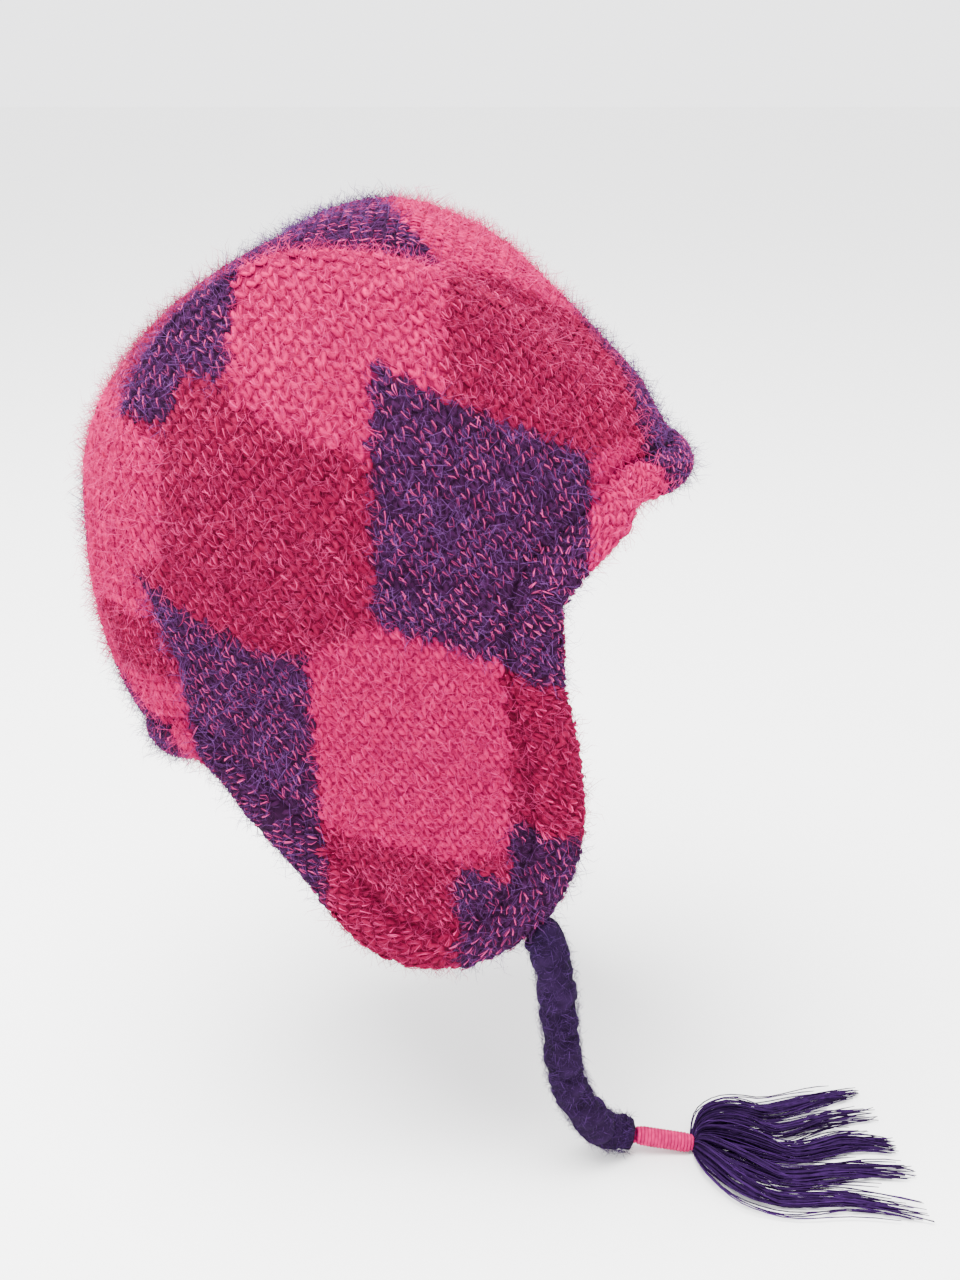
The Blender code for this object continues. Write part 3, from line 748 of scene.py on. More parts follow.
    def halo(self, finish: bpy.types.Material) -> bpy.types.Object:
        """Stand loose mohair hairs over the knit: most lie low, and the few that stand up are long.

        Args:
            finish: the hair's material.

        Returns:
            The piece.
        """
        numbers, shares = self.chart.scatter(self.rng, self.hairs)
        roots = self.chart.read(self.chart.points, numbers, shares)
        clear = self.rng.random(self.hairs) > self.sunk(roots)[:, 0] * self.groove_clear
        roots, numbers, shares = roots[clear], numbers[clear], shares[clear]
        count = len(roots)
        normals = unit(self.chart.read(self.chart.normals, numbers, shares))
        level = unit(np.cross(normals, self.rng.normal(size=(count, 3))))
        curl = np.cross(normals, level) * self.rng.normal(0, self.hair_curl, (count, 1))
        lift = self.rng.beta(*self.hair_rise, (count, 1))
        length = self.rng.uniform(*self.hair_lengths, (count, 1)) * (1 + self.hair_stretch * lift)
        roots = roots + normals * self.hair_root
        middles = roots + length * (normals * (0.12 + 0.5 * lift) + level * 0.5 + curl * 0.2)
        tips = roots + length * (normals * (0.05 + 0.85 * lift) + level * (1 - 0.5 * lift) + curl)
        # A hair that stands up is seen by itself, in its own colour. A low one has the yarn's.
        blends = self.blends_at(roots)
        pale = np.array([linear(blend.hair) for blend in blends])
        plain = np.array([linear(blend.yarn) for blend in blends])
        mix = np.clip(lift * 1.3 - 0.15, 0.0, 1.0)
        colours = (pale * mix + plain * (1 - mix)) * self.rng.uniform(*self.hair_tones, (count, 1))
        return ribbons(self.name + "_halo", roots, middles, tips, self.hair_width, colours, self.rng, finish)


WALL_SHADE = 0.6            # share of the painted shade colour in the cloth behind the stitches


def merged_copy(node: str, name: str) -> bpy.types.Object:
    """Copy a node of the frame and merge its loose triangles.

    Args:
        node: the node's name.
        name: the copy's name.

    Returns:
        The copy.
    """
    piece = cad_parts[node].copy()
    piece.data = piece.data.copy()
    piece.name = name
    piece.parent = None
    piece.matrix_world = Matrix.Identity(4)
    piece.hide_render = piece.hide_viewport = False
    for key in [k for k in piece.keys() if k.startswith("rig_")]:
        del piece[key]
    pick(link(piece))
    bpy.ops.object.mode_set(mode="EDIT")
    bpy.ops.mesh.select_all(action="SELECT")
    bpy.ops.mesh.remove_doubles(threshold=0.02 * MM)
    bpy.ops.object.mode_set(mode="OBJECT")
    piece.data.materials.clear()
    return piece


@dataclass
class Panel:
    """A knitted panel of the frame, and how its outer face is laid out and knitted.

    The outer face ends at edges sharper than crease. Row and column are the steps of its stitches on
    the flat chart, and head_radius turns an angle round the head into a length there.
    """

    node: str
    block_at: BlockAt
    row: tuple[float, float]
    column: tuple[float, float]
    seed: int
    wall_cuts: int = 2
    crease: float = radians(50)
    head_radius: float = 0.1

    def flat_axes(self, points: np.ndarray) -> np.ndarray:
        """Work out the coordinates that the flat chart is turned to fit.

        Args:
            points: places on the panel.

        Returns:
            For each its (forward, up) in the side view, or its place across and round the head.
        """
        if self.node == "centre_panel":
            turn = np.unwrap(np.arctan2(points[:, 2] - EAR_HEIGHT, -points[:, 1]) % (2 * pi))
            return np.column_stack([points[:, 0], turn * self.head_radius])
        return np.column_stack([-points[:, 1], points[:, 2]])

    def chart(self) -> Chart:
        """Lay the panel's outer face out flat.

        Returns:
            The chart, in metres, turned to the panel's own axes.
        """
        piece = merged_copy(self.node, self.node + "_chart")
        mesh = bmesh.new()
        mesh.from_mesh(piece.data)
        mesh.faces.ensure_lookup_table()
        middle = Vector((0, 0, EAR_HEIGHT))
        start = max(mesh.faces, key=lambda f: (f.calc_center_median() - middle).length
                    if f.normal.dot(f.calc_center_median() - middle) > 0 else 0.0)
        outer, queue = {start}, [start]
        while queue:
            face = queue.pop()
            for edge in face.edges:
                for other in edge.link_faces:
                    if other not in outer and face.normal.angle(other.normal, pi) < self.crease:
                        outer.add(other)
                        queue.append(other)
        bmesh.ops.delete(mesh, geom=[f for f in mesh.faces if f not in outer], context="FACES")
        mesh.to_mesh(piece.data)
        mesh.free()
        pick(piece)
        bpy.ops.object.mode_set(mode="EDIT")
        bpy.ops.mesh.select_all(action="SELECT")
        bpy.ops.uv.unwrap(method="ANGLE_BASED", margin=0.0)
        bpy.ops.object.mode_set(mode="OBJECT")
        data = piece.data
        points = np.array([v.co for v in data.vertices])
        normals = np.array([v.normal for v in data.vertices])
        faces = np.array([tuple(p.vertices) for p in data.polygons])
        flat = np.zeros((len(points), 2))
        for loop, uv in zip(data.loops, data.uv_layers.active.data):
            flat[loop.vertex_index] = uv.uv
        bpy.data.objects.remove(piece, do_unlink=True)
        goal = self.flat_axes(points)
        flat = flat - flat.mean(0)
        left, _, right = np.linalg.svd(flat.T @ (goal - goal.mean(0)))
        flat = flat @ (left @ right)
        chart = Chart(points, normals, flat, faces)
        a, b, c = (flat[faces[:, k]] for k in range(3))
        flat_area = np.abs(np.cross(b - a, c - a)).sum() / 2
        chart.flat = flat * sqrt(chart.area().sum() / flat_area)
        return chart


def knit_wall(node: str, block_at: BlockAt, cuts: int, finish: bpy.types.Material) -> bpy.types.Object:
    """Copy a node as the cloth behind the stitches, darkened with each block's shade colour as painted
    shade.

    Args:
        node: the frame's node.
        block_at: the function that gives the block at a point.
        cuts: how many times each edge is cut.
        finish: the cloth's material.

    Returns:
        The piece, which replaces the node.
    """
    piece = merged_copy(node, node + "_cloth")
    bpy.ops.object.mode_set(mode="EDIT")
    bpy.ops.mesh.select_all(action="SELECT")
    bpy.ops.mesh.subdivide(number_cuts=cuts)
    bpy.ops.object.mode_set(mode="OBJECT")
    piece.data.shade_smooth()
    colours = []
    for vertex in piece.data.vertices:
        # The cloth is painted darker than the yarn: painted shade behind the stitches.
        blend = block_at(vertex.co).value
        colours.append(WALL_SHADE * np.array(linear(blend.painted_shade))
                       + (1 - WALL_SHADE) * np.array(linear(blend.yarn)))
    paint(piece, np.array(colours), finish)
    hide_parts(node)
    return piece


@dataclass
class Seam:
    """The sewn edge of the cloth, sunk in the line where two pieces of the knit meet, and painted darker
    than its yarn as painted shade in that groove.
    """

    name: str
    points: np.ndarray
    normals: np.ndarray
    closed: bool
    block_at: BlockAt
    sides: int = 8
    radius: float = 1.7 * MM
    depth: float = 2.1 * MM
    # share of the yarn's brightness that the seam keeps; the rest is painted shade in the groove
    tone: float = 0.5

    def build(self, finish: bpy.types.Material) -> bpy.types.Object:
        """Model it as a tube that follows the line.

        Args:
            finish: the cloth's material.

        Returns:
            The piece.
        """
        after, before = np.roll(self.points, -1, 0), np.roll(self.points, 1, 0)
        if not self.closed:
            after[-1], before[0] = self.points[-1], self.points[0]
        off = unit(np.cross(unit(after - before), self.normals))
        turns = np.linspace(0, 2 * pi, self.sides, endpoint=False)[None, :, None]
        ring = self.normals[:, None] * np.cos(turns) + off[:, None] * np.sin(turns)
        tube = self.points[:, None] - self.normals[:, None] * self.depth + ring * self.radius
        faces = tube_faces(len(self.points), self.sides, self.closed)
        if not self.closed:
            faces = np.vstack([faces, cap_faces(len(self.points), self.sides)])
        # The seam has the yarn's colour, darkened as painted shade in the groove.
        seam_painted_shades = [np.array(linear(self.block_at(Vector(p)).value.yarn)) * self.tone for p in self.points]
        return mesh_piece(self.name, tube.reshape(-1, 3), faces, np.repeat(seam_painted_shades, self.sides, axis=0),
                          finish)


SEAM_GAP = 1.5 * MM         # most that a side panel's edge and the centre panel's are apart
BELOW_BROW = radians(300)   # angle round the ear past which a place belongs to the brow


def top_seam(side: Chart, centre: Chart) -> tuple[np.ndarray, np.ndarray]:
    """Find the line where a side panel meets the centre panel, from the brow to the nape.

    Args:
        side: the side panel's chart.
        centre: the centre panel's chart.

    Returns:
        Places along it, half way between the two panels, and the cloth's normals there.
    """
    border = sorted(centre.border())
    tree = KDTree(len(border))
    for vertex in border:
        tree.insert(centre.points[vertex], vertex)
    tree.balance()
    found = []
    for vertex in side.border():
        point, other, gap = tree.find(side.points[vertex])
        if gap < SEAM_GAP:
            middle = (side.points[vertex] + np.array(point)) / 2
            turn = atan2(middle[2] - EAR_HEIGHT, -middle[1]) % (2 * pi)
            turn -= 2 * pi if turn > BELOW_BROW else 0
            found.append((turn, middle, side.normals[vertex] + centre.normals[other]))
    found.sort(key=lambda entry: entry[0])
    return np.array([middle for _, middle, _ in found]), unit(np.array([normal for _, _, normal in found]))


@dataclass
class Hem:
    """The folded hem: a roll all round the opening, with stitches turned every way.

    It meets a panel where the panel's edge is nearer than meeting. Its chart has stations along that
    line, and at each one places around the roll, over an angle of reach. A ray from ray_start outside
    the roll's middle finds each place.
    """

    node: str = "edge_band"
    stations: int = 260
    around: int = 16
    band_width: float = 16.5 * MM
    wall: float = 4.5 * MM
    reach: float = radians(205)
    meeting: float = 3.2 * MM
    longest_step: float = 30 * MM
    smoothing: int = 2
    ray_start: float = 30 * MM
    ray_reach: float = 40 * MM
    least_roll: float = 5 * MM
    row: tuple[float, float] = (3.0 * MM, 2.7 * MM)
    column: tuple[float, float] = (2.5 * MM, -2.6 * MM)
    seed: int = 40
    sway: float = 0.2
    wall_cuts: int = 1

    def groove(self, charts: list[Chart]) -> list[tuple[Vector, Vector]]:
        """Find the line where the panels meet the hem.

        Args:
            charts: the charts of the three panels.

        Returns:
            Points in order all round, each with the cloth's outward normal.
        """
        tree = BVHTree.FromObject(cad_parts[self.node], bpy.context.evaluated_depsgraph_get())
        found = []
        for chart in charts:
            for vertex in chart.border():
                point = Vector(chart.points[vertex])
                if tree.find_nearest(point)[3] < self.meeting:
                    found.append((point, Vector(chart.normals[vertex])))
        line = [found.pop(0)]
        while found:
            last = line[-1][0]
            index = min(range(len(found)), key=lambda i: (found[i][0] - last).length)
            if (found[index][0] - last).length > self.longest_step:
                break
            line.append(found.pop(index))
        return line

    def rim(self, charts: list[Chart]) -> tuple[np.ndarray, np.ndarray, np.ndarray]:
        """Set even stations along the groove.

        Args:
            charts: the charts of the three panels.

        Returns:
            The stations' places, the cloth's normals there and their distances along the groove.
        """
        line = self.groove(charts)
        pairs = np.array([(*point, *normal) for point, normal in line])
        gaps = np.linalg.norm((np.roll(pairs, -1, 0) - pairs)[:, :3], axis=1)
        run = np.concatenate([[0], np.cumsum(gaps)])
        places = np.linspace(0, run[-1], self.stations, endpoint=False)
        closed = np.vstack([pairs, pairs[:1]])
        stations = np.column_stack([np.interp(places, run, closed[:, k]) for k in range(6)])
        for _ in range(self.smoothing):
            stations = (np.roll(stations, 1, 0) + 2 * stations + np.roll(stations, -1, 0)) / 4
        return stations[:, :3], unit(stations[:, 3:]), places

    def chart(self, rim: tuple[np.ndarray, np.ndarray, np.ndarray]) -> Chart:
        """Lay the hem's roll out flat, along the rim and round the roll.

        Args:
            rim: the stations along the groove, as rim gives them.

        Returns:
            The chart, in metres.
        """
        line_points, line_normals, places = rim
        tree = BVHTree.FromObject(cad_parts[self.node], bpy.context.evaluated_depsgraph_get())
        turns = np.linspace(-self.reach / 2, self.reach / 2, self.around)
        grid = np.zeros((self.stations, self.around, 3))
        outward = np.zeros((self.stations, self.around, 3))
        flat = np.zeros((self.stations, self.around, 2))
        for i in range(self.stations):
            ahead = Vector(line_points[(i + 1) % self.stations] - line_points[i - 1]).normalized()
            normal = Vector(line_normals[i])
            normal = (normal - ahead * normal.dot(ahead)).normalized()
            off = normal.cross(ahead)
            probe = Vector(line_points[i]) - normal * self.wall / 2
            if tree.ray_cast(probe, off, self.band_width)[0] is None:
                off = -off
            free = tree.ray_cast(probe + off * 2 * self.band_width, -off, 2 * self.band_width)[0]
            middle = (probe + free) / 2 if free is not None else probe + off * self.band_width / 2
            for j, turn in enumerate(turns):
                ray = normal * cos(turn) + off * sin(turn)
                spot, facing = tree.ray_cast(middle + ray * self.ray_start, -ray, self.ray_reach)[:2]
                grid[i, j] = spot if spot is not None else middle + ray * self.least_roll
                outward[i, j] = facing if spot is not None else ray
                if j:
                    flat[i, j, 1] = flat[i, j - 1, 1] + np.linalg.norm(grid[i, j] - grid[i, j - 1])
            flat[i, :, 0] = places[i]
        number = np.arange(self.stations * self.around).reshape(self.stations, self.around)
        a, b = number[:-1, :-1].ravel(), number[1:, :-1].ravel()
        c, d = number[1:, 1:].ravel(), number[:-1, 1:].ravel()
        faces = np.vstack([np.column_stack([a, b, c]), np.column_stack([a, c, d])])
        return Chart(grid.reshape(-1, 3), outward.reshape(-1, 3), flat.reshape(-1, 2), faces)


# Ties and tassels

FLOOR = CAD_BOX[0].z

# Middle lines of the two cords, from inside the hem to the binding
RIGHT_STOPS = (
    (-0.0713, -0.0535, -0.2195), (-0.0714, -0.0563, -0.2225),
    (-0.0720, -0.0600, FLOOR + 0.0815), (-0.0710, -0.0622, FLOOR + 0.0598),
    (-0.0700, -0.0642, FLOOR + 0.0431), (-0.0680, -0.0680, FLOOR + 0.0305),
    (-0.0645, -0.0735, FLOOR + 0.0198), (-0.0595, -0.0790, FLOOR + 0.0117),
    (-0.0562, -0.0845, FLOOR + 0.0080), (-0.0567, -0.0898, FLOOR + 0.0074),
)
LEFT_STOPS = (
    (0.0713, -0.0535, -0.2195), (0.0714, -0.0563, -0.2225),
    (0.0722, -0.0590, FLOOR + 0.0810), (0.0750, -0.0600, FLOOR + 0.0620),
    (0.0795, -0.0605, FLOOR + 0.0450), (0.0860, -0.0603, FLOOR + 0.0300),
    (0.0945, -0.0595, FLOOR + 0.0185), (0.1035, -0.0580, FLOOR + 0.0112),
    (0.1105, -0.0566, FLOOR + 0.0080), (0.1160, -0.0552, FLOOR + 0.0074),
)

# Middle lines of a tassel's locks, as (along, across) shares of its length
LOCKS = np.array((
    ((0.00, 0.00), (0.05, 0.12), (0.20, 0.22), (0.42, 0.26), (0.64, 0.34), (0.83, 0.39)),
    ((0.00, 0.00), (0.06, 0.06), (0.22, 0.10), (0.42, 0.09), (0.64, 0.17), (0.87, 0.22)),
    ((0.00, 0.00), (0.06, 0.01), (0.24, -0.04), (0.47, -0.07), (0.70, 0.00), (0.90, -0.03)),
    ((0.00, 0.00), (0.05, -0.07), (0.20, -0.18), (0.40, -0.24), (0.64, -0.21), (0.93, -0.23)),
    ((0.00, 0.00), (0.04, -0.15), (0.15, -0.32), (0.34, -0.39), (0.60, -0.40), (0.92, -0.50)),
))


def curve_at(stops: list[Vector] | np.ndarray, index: int, share: float) -> Vector | np.ndarray:
    """Read the smooth curve through stops.

    Args:
        stops: the places that it goes through.
        index: number of the stop before the place.
        share: how far the place is on the way to the next stop, from 0 to 1.

    Returns:
        The place.
    """
    p0, p1, p2, p3 = (stops[min(max(i, 0), len(stops) - 1)] for i in range(index - 1, index + 3))
    return 0.5 * (2 * p1 + (p2 - p0) * share + (2 * p0 - 5 * p1 + 4 * p2 - p3) * share * share
                  + (3 * p1 - p0 - 3 * p2 + p3) * share ** 3)


def smooth_route(stops: list[Vector], count: int, fineness: int = 24) -> list[Vector]:
    """Read a smooth curve through stops at even steps.

    Args:
        stops: the places that it goes through.
        count: how many points to give.
        fineness: into how many steps the way between two stops is cut, to measure it.

    Returns:
        The points.
    """
    fine = [curve_at(stops, i, k / fineness) for i in range(len(stops) - 1) for k in range(fineness)]
    values = np.array(fine + [stops[-1]])
    run = np.concatenate([[0], np.cumsum(np.linalg.norm(np.diff(values, axis=0), axis=1))])
    places = np.linspace(0, run[-1], count)
    return [Vector([np.interp(place, run, values[:, k]) for k in range(3)]) for place in places]


def frames_along(points: list[Vector]) -> list[tuple[Vector, Vector, Vector]]:
    """Turn-free frames along a route.

    Args:
        points: the route.

    Returns:
        For each point the direction, and two directions across it.
    """
    made = []
    side = None
    for i in range(len(points)):
        run = (points[min(i + 1, len(points) - 1)] - points[max(i - 1, 0)]).normalized()
        if side is None:
            side = run.orthogonal().normalized()
        side = (side - run * side.dot(run)).normalized()
        made.append((run, side, run.cross(side)))
    return made


def spindle(node: str, near: Vector) -> tuple[Vector, Vector]:
    """Axis of a long turned node of the frame.

    Args:
        node: its name.
        near: a place by the end that comes first.

    Returns:
        The middle of that end, and the way from there to the other end.
    """
    points = np.array([v.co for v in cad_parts[node].data.vertices])
    middle = (points.min(0) + points.max(0)) / 2
    axis = Vector(np.linalg.svd(points - points.mean(0))[2][0])
    if axis.dot(Vector(middle) - near) < 0:
        axis = -axis
    reach = (points - middle) @ np.array(axis)
    return Vector(middle) + axis * float(reach.min()), axis * float(reach.max() - reach.min())


@dataclass
class Tie:
    """A felted cord with its wound binding and its tassel.

    Radii of the cord are shares of half its diameter. Neck is the share of its radius that a binding
    has at its ends. Spread and lock_half set how far a strand lies beside its lock's line, which is
    given in lengths of the tassel. Near the root it rises by puff at most, and past puff_end it lies
    down. Fuzz and strands are drawn as wide as they need to show, where real fibres are 0.03 mm thick.
    """

    side: str
    stops: tuple[tuple[float, float, float], ...]
    seed: int
    diameter: float = 13.5 * MM
    rings: int = 110
    sides: int = 20
    colour: str = "#180B22"
    end_rings: int = 3
    end_radius: float = 0.45
    body_radius: float = 0.93
    lump: float = 0.22
    lump_passes: int = 3
    # painted light and shade of the felt's lumps: its strength, and the least and most tone
    lump_light_and_shade: float = 0.8
    lump_light_and_shade_limits: tuple[float, float] = (0.4, 1.8)
    hair_colour: str = "#472C60"
    hairs: int = 6000
    hair_root: float = 0.46
    hair_rise: tuple[float, float] = (0.9, 2.0)
    hair_lengths: tuple[float, float] = (1.5 * MM, 4.5 * MM)
    hair_width: float = 0.12 * MM
    hair_tones: tuple[float, float] = (0.7, 1.3)
    root_tone: float = 1.6
    thread_colour: str = "#A00A4E"
    thread_tone: float = 0.12
    thread_sides: int = 6
    thread_lap: float = 1.06
    turns: int = 17
    turn_steps: int = 20
    binding_radius: float = 3.5 * MM
    neck: float = 0.82
    neck_share: float = 1 / 8
    yarn_colour: str = "#230F33"
    yarn_tone: float = 0.3
    yarn_radius: float = 0.26 * MM
    yarn_sides: int = 3
    tip_radius: float = 0.55
    tone_along: float = 0.15
    strands: int = 320
    strand_steps: int = 16
    tassel_length: float = 80 * MM
    stray: float = 0.7
    stray_power: int = 6
    spread: float = 0.45
    lock_half: float = 0.08
    cuts: tuple[float, float] = (0.78, 1.03)
    waves: tuple[float, float] = (0.6 * MM, 2.2 * MM)
    wave_turn: float = 11.0
    least_lift: float = 0.05
    swell_start: float = 0.12
    swell_pace: float = 0.8
    swell_power: float = 0.7
    end_width: float = 0.7
    lying: float = 1.0 * MM
    thickness: float = 2.6 * MM
    puff: float = 9.0 * MM
    puff_end: float = 0.55
    puff_power: float = 0.8
    head_share: float = 0.07
    head_height: float = 3.4 * MM
    head_thickness: float = 3.0 * MM

    def cord(self, finish: bpy.types.Material) -> tuple[bpy.types.Object, list[Vector]]:
        """Model the felted cord: a lumpy tube with closed ends.

        Args:
            finish: the felt's material.

        Returns:
            The piece and the points that it follows.
        """
        rng = np.random.default_rng(self.seed)
        path = smooth_route([Vector(stop) for stop in self.stops], self.rings)
        lumps = rng.normal(0, 1, (self.rings, self.sides))
        for _ in range(self.lump_passes):
            lumps = (np.roll(lumps, 1, 0) + np.roll(lumps, -1, 0) + np.roll(lumps, 1, 1)
                     + np.roll(lumps, -1, 1) + 2 * lumps) / 6
        points = []
        for i, (point, (_, a, b)) in enumerate(zip(path, frames_along(path))):
            end = min(1.0, min(i, self.rings - 1 - i) / self.end_rings)
            taper = sqrt(1 - (1 - end) ** 2) * (1 - self.end_radius) + self.end_radius
            for j in range(self.sides):
                turn = 2 * pi * j / self.sides
                radius = self.diameter / 2 * taper * (self.body_radius + self.lump * lumps[i, j])
                points.append(point + (a * cos(turn) + b * sin(turn)) * radius)
        start, last = len(points), len(points) - self.sides
        points += [path[0], path[-1]]
        around = [(j, (j + 1) % self.sides) for j in range(self.sides)]
        caps = [(start, b, a) for a, b in around] + [(start + 1, last + a, last + b) for a, b in around]
        # The lumps that swell the cord also tint it, lighter on its bulges and darker in its hollows:
        # painted light and shade.
        tones = np.append(lumps.ravel(), [0, 0])[:, None]
        colours = np.array(linear(self.colour)) * np.clip(1 + self.lump_light_and_shade * tones, *self.lump_light_and_shade_limits)
        faces = np.vstack([tube_faces(self.rings, self.sides), caps])
        return mesh_piece(f"tie_{self.side}_felt", np.array(points), faces, colours, finish), path

    def fuzz(self, path: list[Vector], finish: bpy.types.Material) -> bpy.types.Object:
        """Stand short loose fibres on the felt.

        Args:
            path: the cord's middle line.
            finish: the hair's material.

        Returns:
            The piece.
        """
        rng, count = np.random.default_rng(self.seed + 5), self.hairs
        frames = np.array([[tuple(axis) for axis in axes] for axes in frames_along(path)])
        places = rng.integers(1, len(path) - 2, count)
        turn = rng.uniform(0, 2 * pi, (count, 1))
        out = frames[places, 1] * np.cos(turn) + frames[places, 2] * np.sin(turn)
        around = np.cross(out, frames[places, 0])
        lean = unit(frames[places, 0] * rng.normal(0, 1, (count, 1)) + around * rng.normal(0, 1, (count, 1)))
        lift = rng.beta(*self.hair_rise, (count, 1))
        length = rng.uniform(*self.hair_lengths, (count, 1))
        roots = np.array(path)[places] + out * self.diameter * self.hair_root
        middles = roots + length * (out * (0.1 + 0.5 * lift) + lean * 0.5)
        tips = roots + length * (out * 0.9 * lift + lean)
        tones = np.array(linear(self.colour)) * (1 - lift) * self.root_tone
        tones = tones + np.array(linear(self.hair_colour)) * lift
        return ribbons(f"tie_{self.side}_fuzz", roots, middles, tips, self.hair_width,
                       tones * rng.uniform(*self.hair_tones, (count, 1)), rng, finish)

    def binding(self, start: Vector, along: Vector, finish: bpy.types.Material) -> bpy.types.Object:
        """Wind the thread round the yarns at the cord's end.

        Args:
            start: middle of the binding's first end.
            along: from there to the middle of its other end.
            finish: the thread's material.

        Returns:
            The piece.
        """
        run = along.normalized()
        side = run.orthogonal().normalized()
        other = run.cross(side)
        thread = along.length / self.turns / 2 * self.thread_lap
        steps = self.turns * self.turn_steps
        route = []
        for share in (k / steps for k in range(steps + 1)):
            turn = 2 * pi * self.turns * share
            body = min(1.0, min(share, 1 - share) / self.neck_share)
            radius = (self.binding_radius - thread) * (self.neck + (1 - self.neck) * body)
            route.append(start + along * share + (side * cos(turn) + other * sin(turn)) * radius)
        return self.tube(f"binding_{self.side}_thread", [route], thread, self.thread_sides,
                         self.thread_colour, finish, self.thread_tone)

    def tube(self, name: str, routes: list[list[Vector]], radius: float, sides: int, colour: str,
             finish: bpy.types.Material, spread: float) -> bpy.types.Object:
        """Model round strands along routes as one piece.

        Args:
            name: the piece's name.
            routes: the strands' middle lines.
            radius: the strands' radius, which thins at the last point.
            sides: how many sides a strand has.
            colour: the strands' colour.
            finish: the material.
            spread: how much the colour changes from strand to strand.

        Returns:
            The piece.
        """
        rng = np.random.default_rng(self.seed + 9)
        points, faces, colours = [], [], []
        base = np.array(linear(colour))
        for route in routes:
            rows = len(route)
            faces.append(np.vstack([tube_faces(rows, sides), cap_faces(rows, sides)]) + len(points))
            tone = base * (1 + spread * rng.normal())
            for i, (point, (_, a, b)) in enumerate(zip(route, frames_along(route))):
                thin = radius * (self.tip_radius if i == rows - 1 else 1.0)
                for j in range(sides):
                    turn = 2 * pi * j / sides
                    points.append(point + (a * cos(turn) + b * sin(turn)) * thin)
                colours += [np.clip(tone * (1 + self.tone_along * rng.normal()), 0, 1)] * sides
        return mesh_piece(name, np.array(points), np.vstack(faces), np.array(colours), finish)

    def tassel(self, root: Vector, run: Vector, finish: bpy.types.Material) -> bpy.types.Object:
        """Fan the yarn strands out over the surface that they lie on, in wavy locks.

        Args:
            root: where the strands leave the binding.
            run: level direction of the tassel's middle.
            finish: the yarn's material.

        Returns:
            The piece.
        """
        rng = np.random.default_rng(self.seed + 3)
        beside = Vector((-run.y, run.x, 0.0))
        routes = []
        for _ in range(self.strands):
            lock = int(rng.integers(0, len(LOCKS)))
            stray = float(rng.random() ** self.stray_power) * self.stray
            line = LOCKS[lock] * (1 - stray) + LOCKS[max(lock - 1, 0)] * stray
            spread = rng.normal(0, self.spread)
            cut = rng.uniform(*self.cuts)
            wave, phase = rng.uniform(*self.waves) / self.tassel_length, rng.uniform(0, 2 * pi)
            lift = rng.uniform(self.least_lift, 1.0) / (1 + abs(spread))
            route = []
            for share in (k / self.strand_steps * cut for k in range(self.strand_steps + 1)):
                place = share * (len(line) - 1)
                index = min(int(place), len(line) - 2)
                x, y = curve_at(line, index, place - index)
                swell = sin(pi * min(1.0, self.swell_start + share * self.swell_pace)) ** self.swell_power
                y += spread * self.lock_half * max(swell, self.end_width * share)
                y += wave * sin(phase + share * self.wave_turn) * share
                rise = max(0.0, sin(pi * min(1.0, share / self.puff_end))) ** self.puff_power
                height = self.lying + self.thickness * lift * swell + self.puff * lift * rise
                head = max(0.0, 1 - share / self.head_share)
                height += (self.head_height + (lift - 0.5) * self.head_thickness - height) * head
                route.append(Vector((root.x, root.y, FLOOR + height))
                             + (run * float(x) + beside * float(y)) * self.tassel_length)
            routes.append(route)
        return self.tube(f"tassel_{self.side}_yarn", routes, self.yarn_radius, self.yarn_sides,
                         self.yarn_colour, finish, self.yarn_tone)


# Studio and assembly


@dataclass
class Studio:
    """Camera at the photograph's angle, soft light and a pale floor."""

    place: tuple[float, float, float] = (-0.585, -0.0354, 0.0683)
    pitch: float = radians(20.04)
    lens: float = 50.0
    sensor: float = 36.0
    nearest: float = 0.01
    sky: str = "#FDFDFF"
    sky_strength: float = 3.2
    lamp_place: tuple[float, float, float] = (-0.25, 0.30, 1.1)
    lamp_aim: tuple[float, float, float] = (0.0, 0.0, -0.1)
    lamp_power: float = 95.0
    lamp_side: float = 1.0
    floor_half: float = 6.0

    def camera(self) -> None:
        """Make the camera, looking along +X and down."""
        data = bpy.data.cameras.new("Camera")
        data.lens = self.lens
        data.sensor_width = self.sensor
        data.clip_start = self.nearest
        camera = link(bpy.data.objects.new("Camera", data))
        camera.location = self.place
        camera.rotation_euler = (pi / 2 - self.pitch, 0.0, -pi / 2)
        bpy.context.scene.camera = camera

    def light(self) -> None:
        """Hang the square softbox over the hat, and light the sky evenly."""
        data = bpy.data.lights.new("Top softbox", "AREA")
        data.energy = self.lamp_power
        data.size = self.lamp_side
        lamp = link(bpy.data.objects.new("Top softbox", data))
        lamp.location = self.lamp_place
        aim = Vector(self.lamp_aim) - Vector(self.lamp_place)
        lamp.rotation_euler = aim.to_track_quat("-Z", "Y").to_euler()
        world = bpy.data.worlds.new("Studio")
        bpy.context.scene.world = world
        world.use_nodes = True
        sky = world.node_tree.nodes["Background"]
        sky.inputs["Color"].default_value = (*linear(self.sky), 1.0)
        sky.inputs["Strength"].default_value = self.sky_strength

    def build(self) -> None:
        """Set the camera, the lights and the floor."""
        self.camera()
        self.light()
        deselect()
        bpy.ops.mesh.primitive_plane_add(size=2 * self.floor_half, location=(0, 0, FLOOR))
        floor = bpy.context.object
        floor.name = "Studio floor"
        floor.data.materials.append(FloorFinish().build())


def settle(piece: bpy.types.Object, slot: str, *nodes: str) -> None:
    """Let a piece ride on the hat and hide the nodes that it stands for.

    Args:
        piece: the piece.
        slot: the material slot's name; not used.
        nodes: the nodes that it replaces.
    """
    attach(piece, BODY)
    if nodes:
        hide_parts(*nodes)


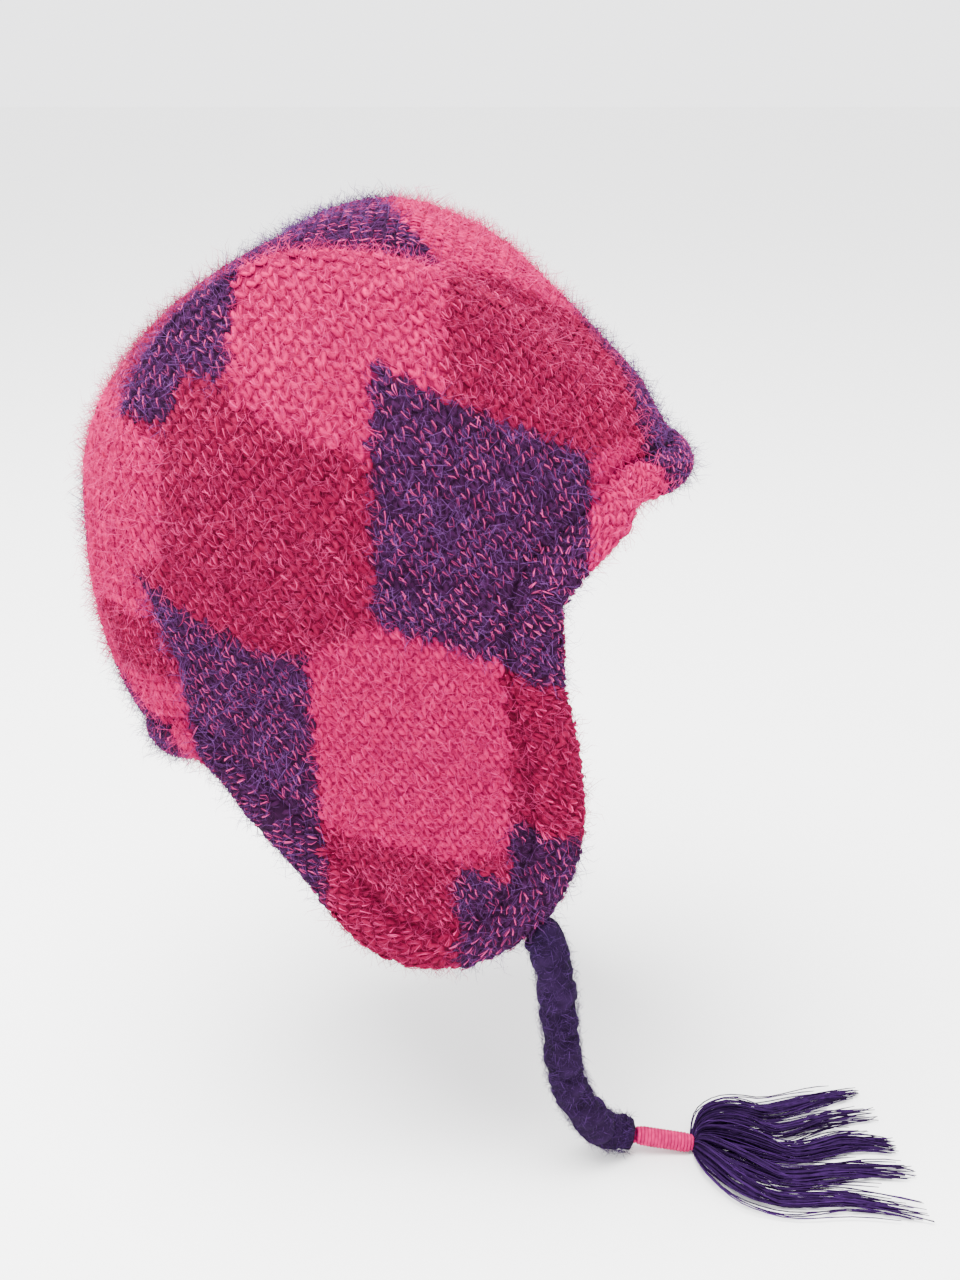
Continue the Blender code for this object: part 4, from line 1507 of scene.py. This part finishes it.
def lay_knit(knit: Knit, slot: str, yarn: bpy.types.Material, hair: bpy.types.Material) -> None:
    """Lay a knit's stitches, its strands and its halo, in that order.

    Args:
        knit: the knit.
        slot: the material slot's name, passed on to settle.
        yarn: the yarn's material.
        hair: the strands' and the hairs' material.
    """
    settle(knit.stitches(yarn), slot)
    settle(knit.strands(hair), slot)
    settle(knit.halo(hair), slot)
    log.info("%s laid", knit.name)


def add_tie(tie: Tie, felt: bpy.types.Material, hair: bpy.types.Material, thread: bpy.types.Material,
            loose: bpy.types.Material) -> None:
    """Build a tie with its binding and tassel.

    Args:
        tie: the tie.
        felt: the cord's material.
        hair: the fuzz's material.
        thread: the binding's material.
        loose: the tassel's material.
    """
    cord, path = tie.cord(felt)
    settle(cord, "felt_cord", f"tie_{tie.side}")
    settle(tie.fuzz(path, hair), "felt_cord")
    start, along = spindle(f"binding_{tie.side}", path[-1])
    binding = tie.binding(start, along, thread)
    settle(binding, "wound_thread", f"binding_{tie.side}")
    tassel = tie.tassel(start + along, Vector((along.x, along.y, 0)).normalized(), loose)
    settle(tassel, "tassel_yarn", f"tassel_{tie.side}")


SIDE_LATTICE = {"row": (-3.05 * MM, -2.84 * MM), "column": (1.98 * MM, -3.06 * MM)}
CENTRE_LATTICE = {"row": (4.1 * MM, 0.0), "column": (0.0, -3.5 * MM)}
PANEL_HAIRS = 26000
HEM_HAIRS = 18000


def main() -> None:
    """Build the hat's looks on the frame."""
    logging.basicConfig(level=logging.INFO)
    Studio().build()
    # Brushed knit looks soft and mottled. The ground behind it is felted flat and has no gloss.
    yarn = WoolFinish("Brushed mohair knit").build()
    cloth = WoolFinish("Felted knit ground", roughness=1.0).build()
    # Single fibres are smooth and even in colour.
    hair = WoolFinish("Mohair fibre", mottle=0.1, relief=0.01 * MM).build()
    # Felt is coarse and lumpy, wound cotton is even with a faint sheen, and loose yarn is mottled.
    felt = WoolFinish("Felted wool cord", fibre=0.5 * MM, relief=0.4 * MM).build()
    thread = WoolFinish("Wound cotton thread", mottle=0.12, roughness=0.7, gloss=0.05).build()
    loose = WoolFinish("Loose wool yarn").build()

    panels = [
        Panel("side_panel_right", side_block, seed=11, **SIDE_LATTICE),
        Panel("side_panel_left", side_block, seed=12, **SIDE_LATTICE),
        Panel("centre_panel", centre_block, seed=13, **CENTRE_LATTICE),
    ]
    hem = Hem()
    charts = [panel.chart() for panel in panels]
    rim = hem.rim(charts)
    hem_chart = hem.chart(rim)
    groove = KDTree(hem.stations)
    for index, place in enumerate(rim[0]):
        groove.insert(place, index)
    groove.balance()

    for panel, chart in zip(panels, charts):
        slot = "centre_knit" if panel.node == "centre_panel" else "side_knit"
        settle(knit_wall(panel.node, panel.block_at, panel.wall_cuts, cloth), slot)
        lay_knit(Knit(panel.node, chart, panel.block_at, panel.row, panel.column, panel.seed,
                      PANEL_HAIRS, groove), slot, yarn, hair)

    settle(knit_wall(hem.node, hem_block, hem.wall_cuts, cloth), "hem_knit")
    settle(Seam("edge_band_seam", rim[0], rim[1], True, hem_block).build(cloth), "hem_knit")
    for panel, chart in zip(panels[:2], charts):
        points, normals = top_seam(chart, charts[2])
        settle(Seam(panel.node + "_seam", points, normals, False, side_block).build(cloth), "side_knit")
        log.info("%s: seam of %d points", panel.node, len(points))
    lay_knit(Knit(hem.node, hem_chart, hem_block, hem.row, hem.column, hem.seed, HEM_HAIRS, groove,
                  sway=hem.sway), "hem_knit", yarn, hair)

    for tie in (Tie("right", RIGHT_STOPS, seed=60), Tie("left", LEFT_STOPS, seed=80)):
        add_tie(tie, felt, hair, thread, loose)


if __name__ == "__main__":
    main()
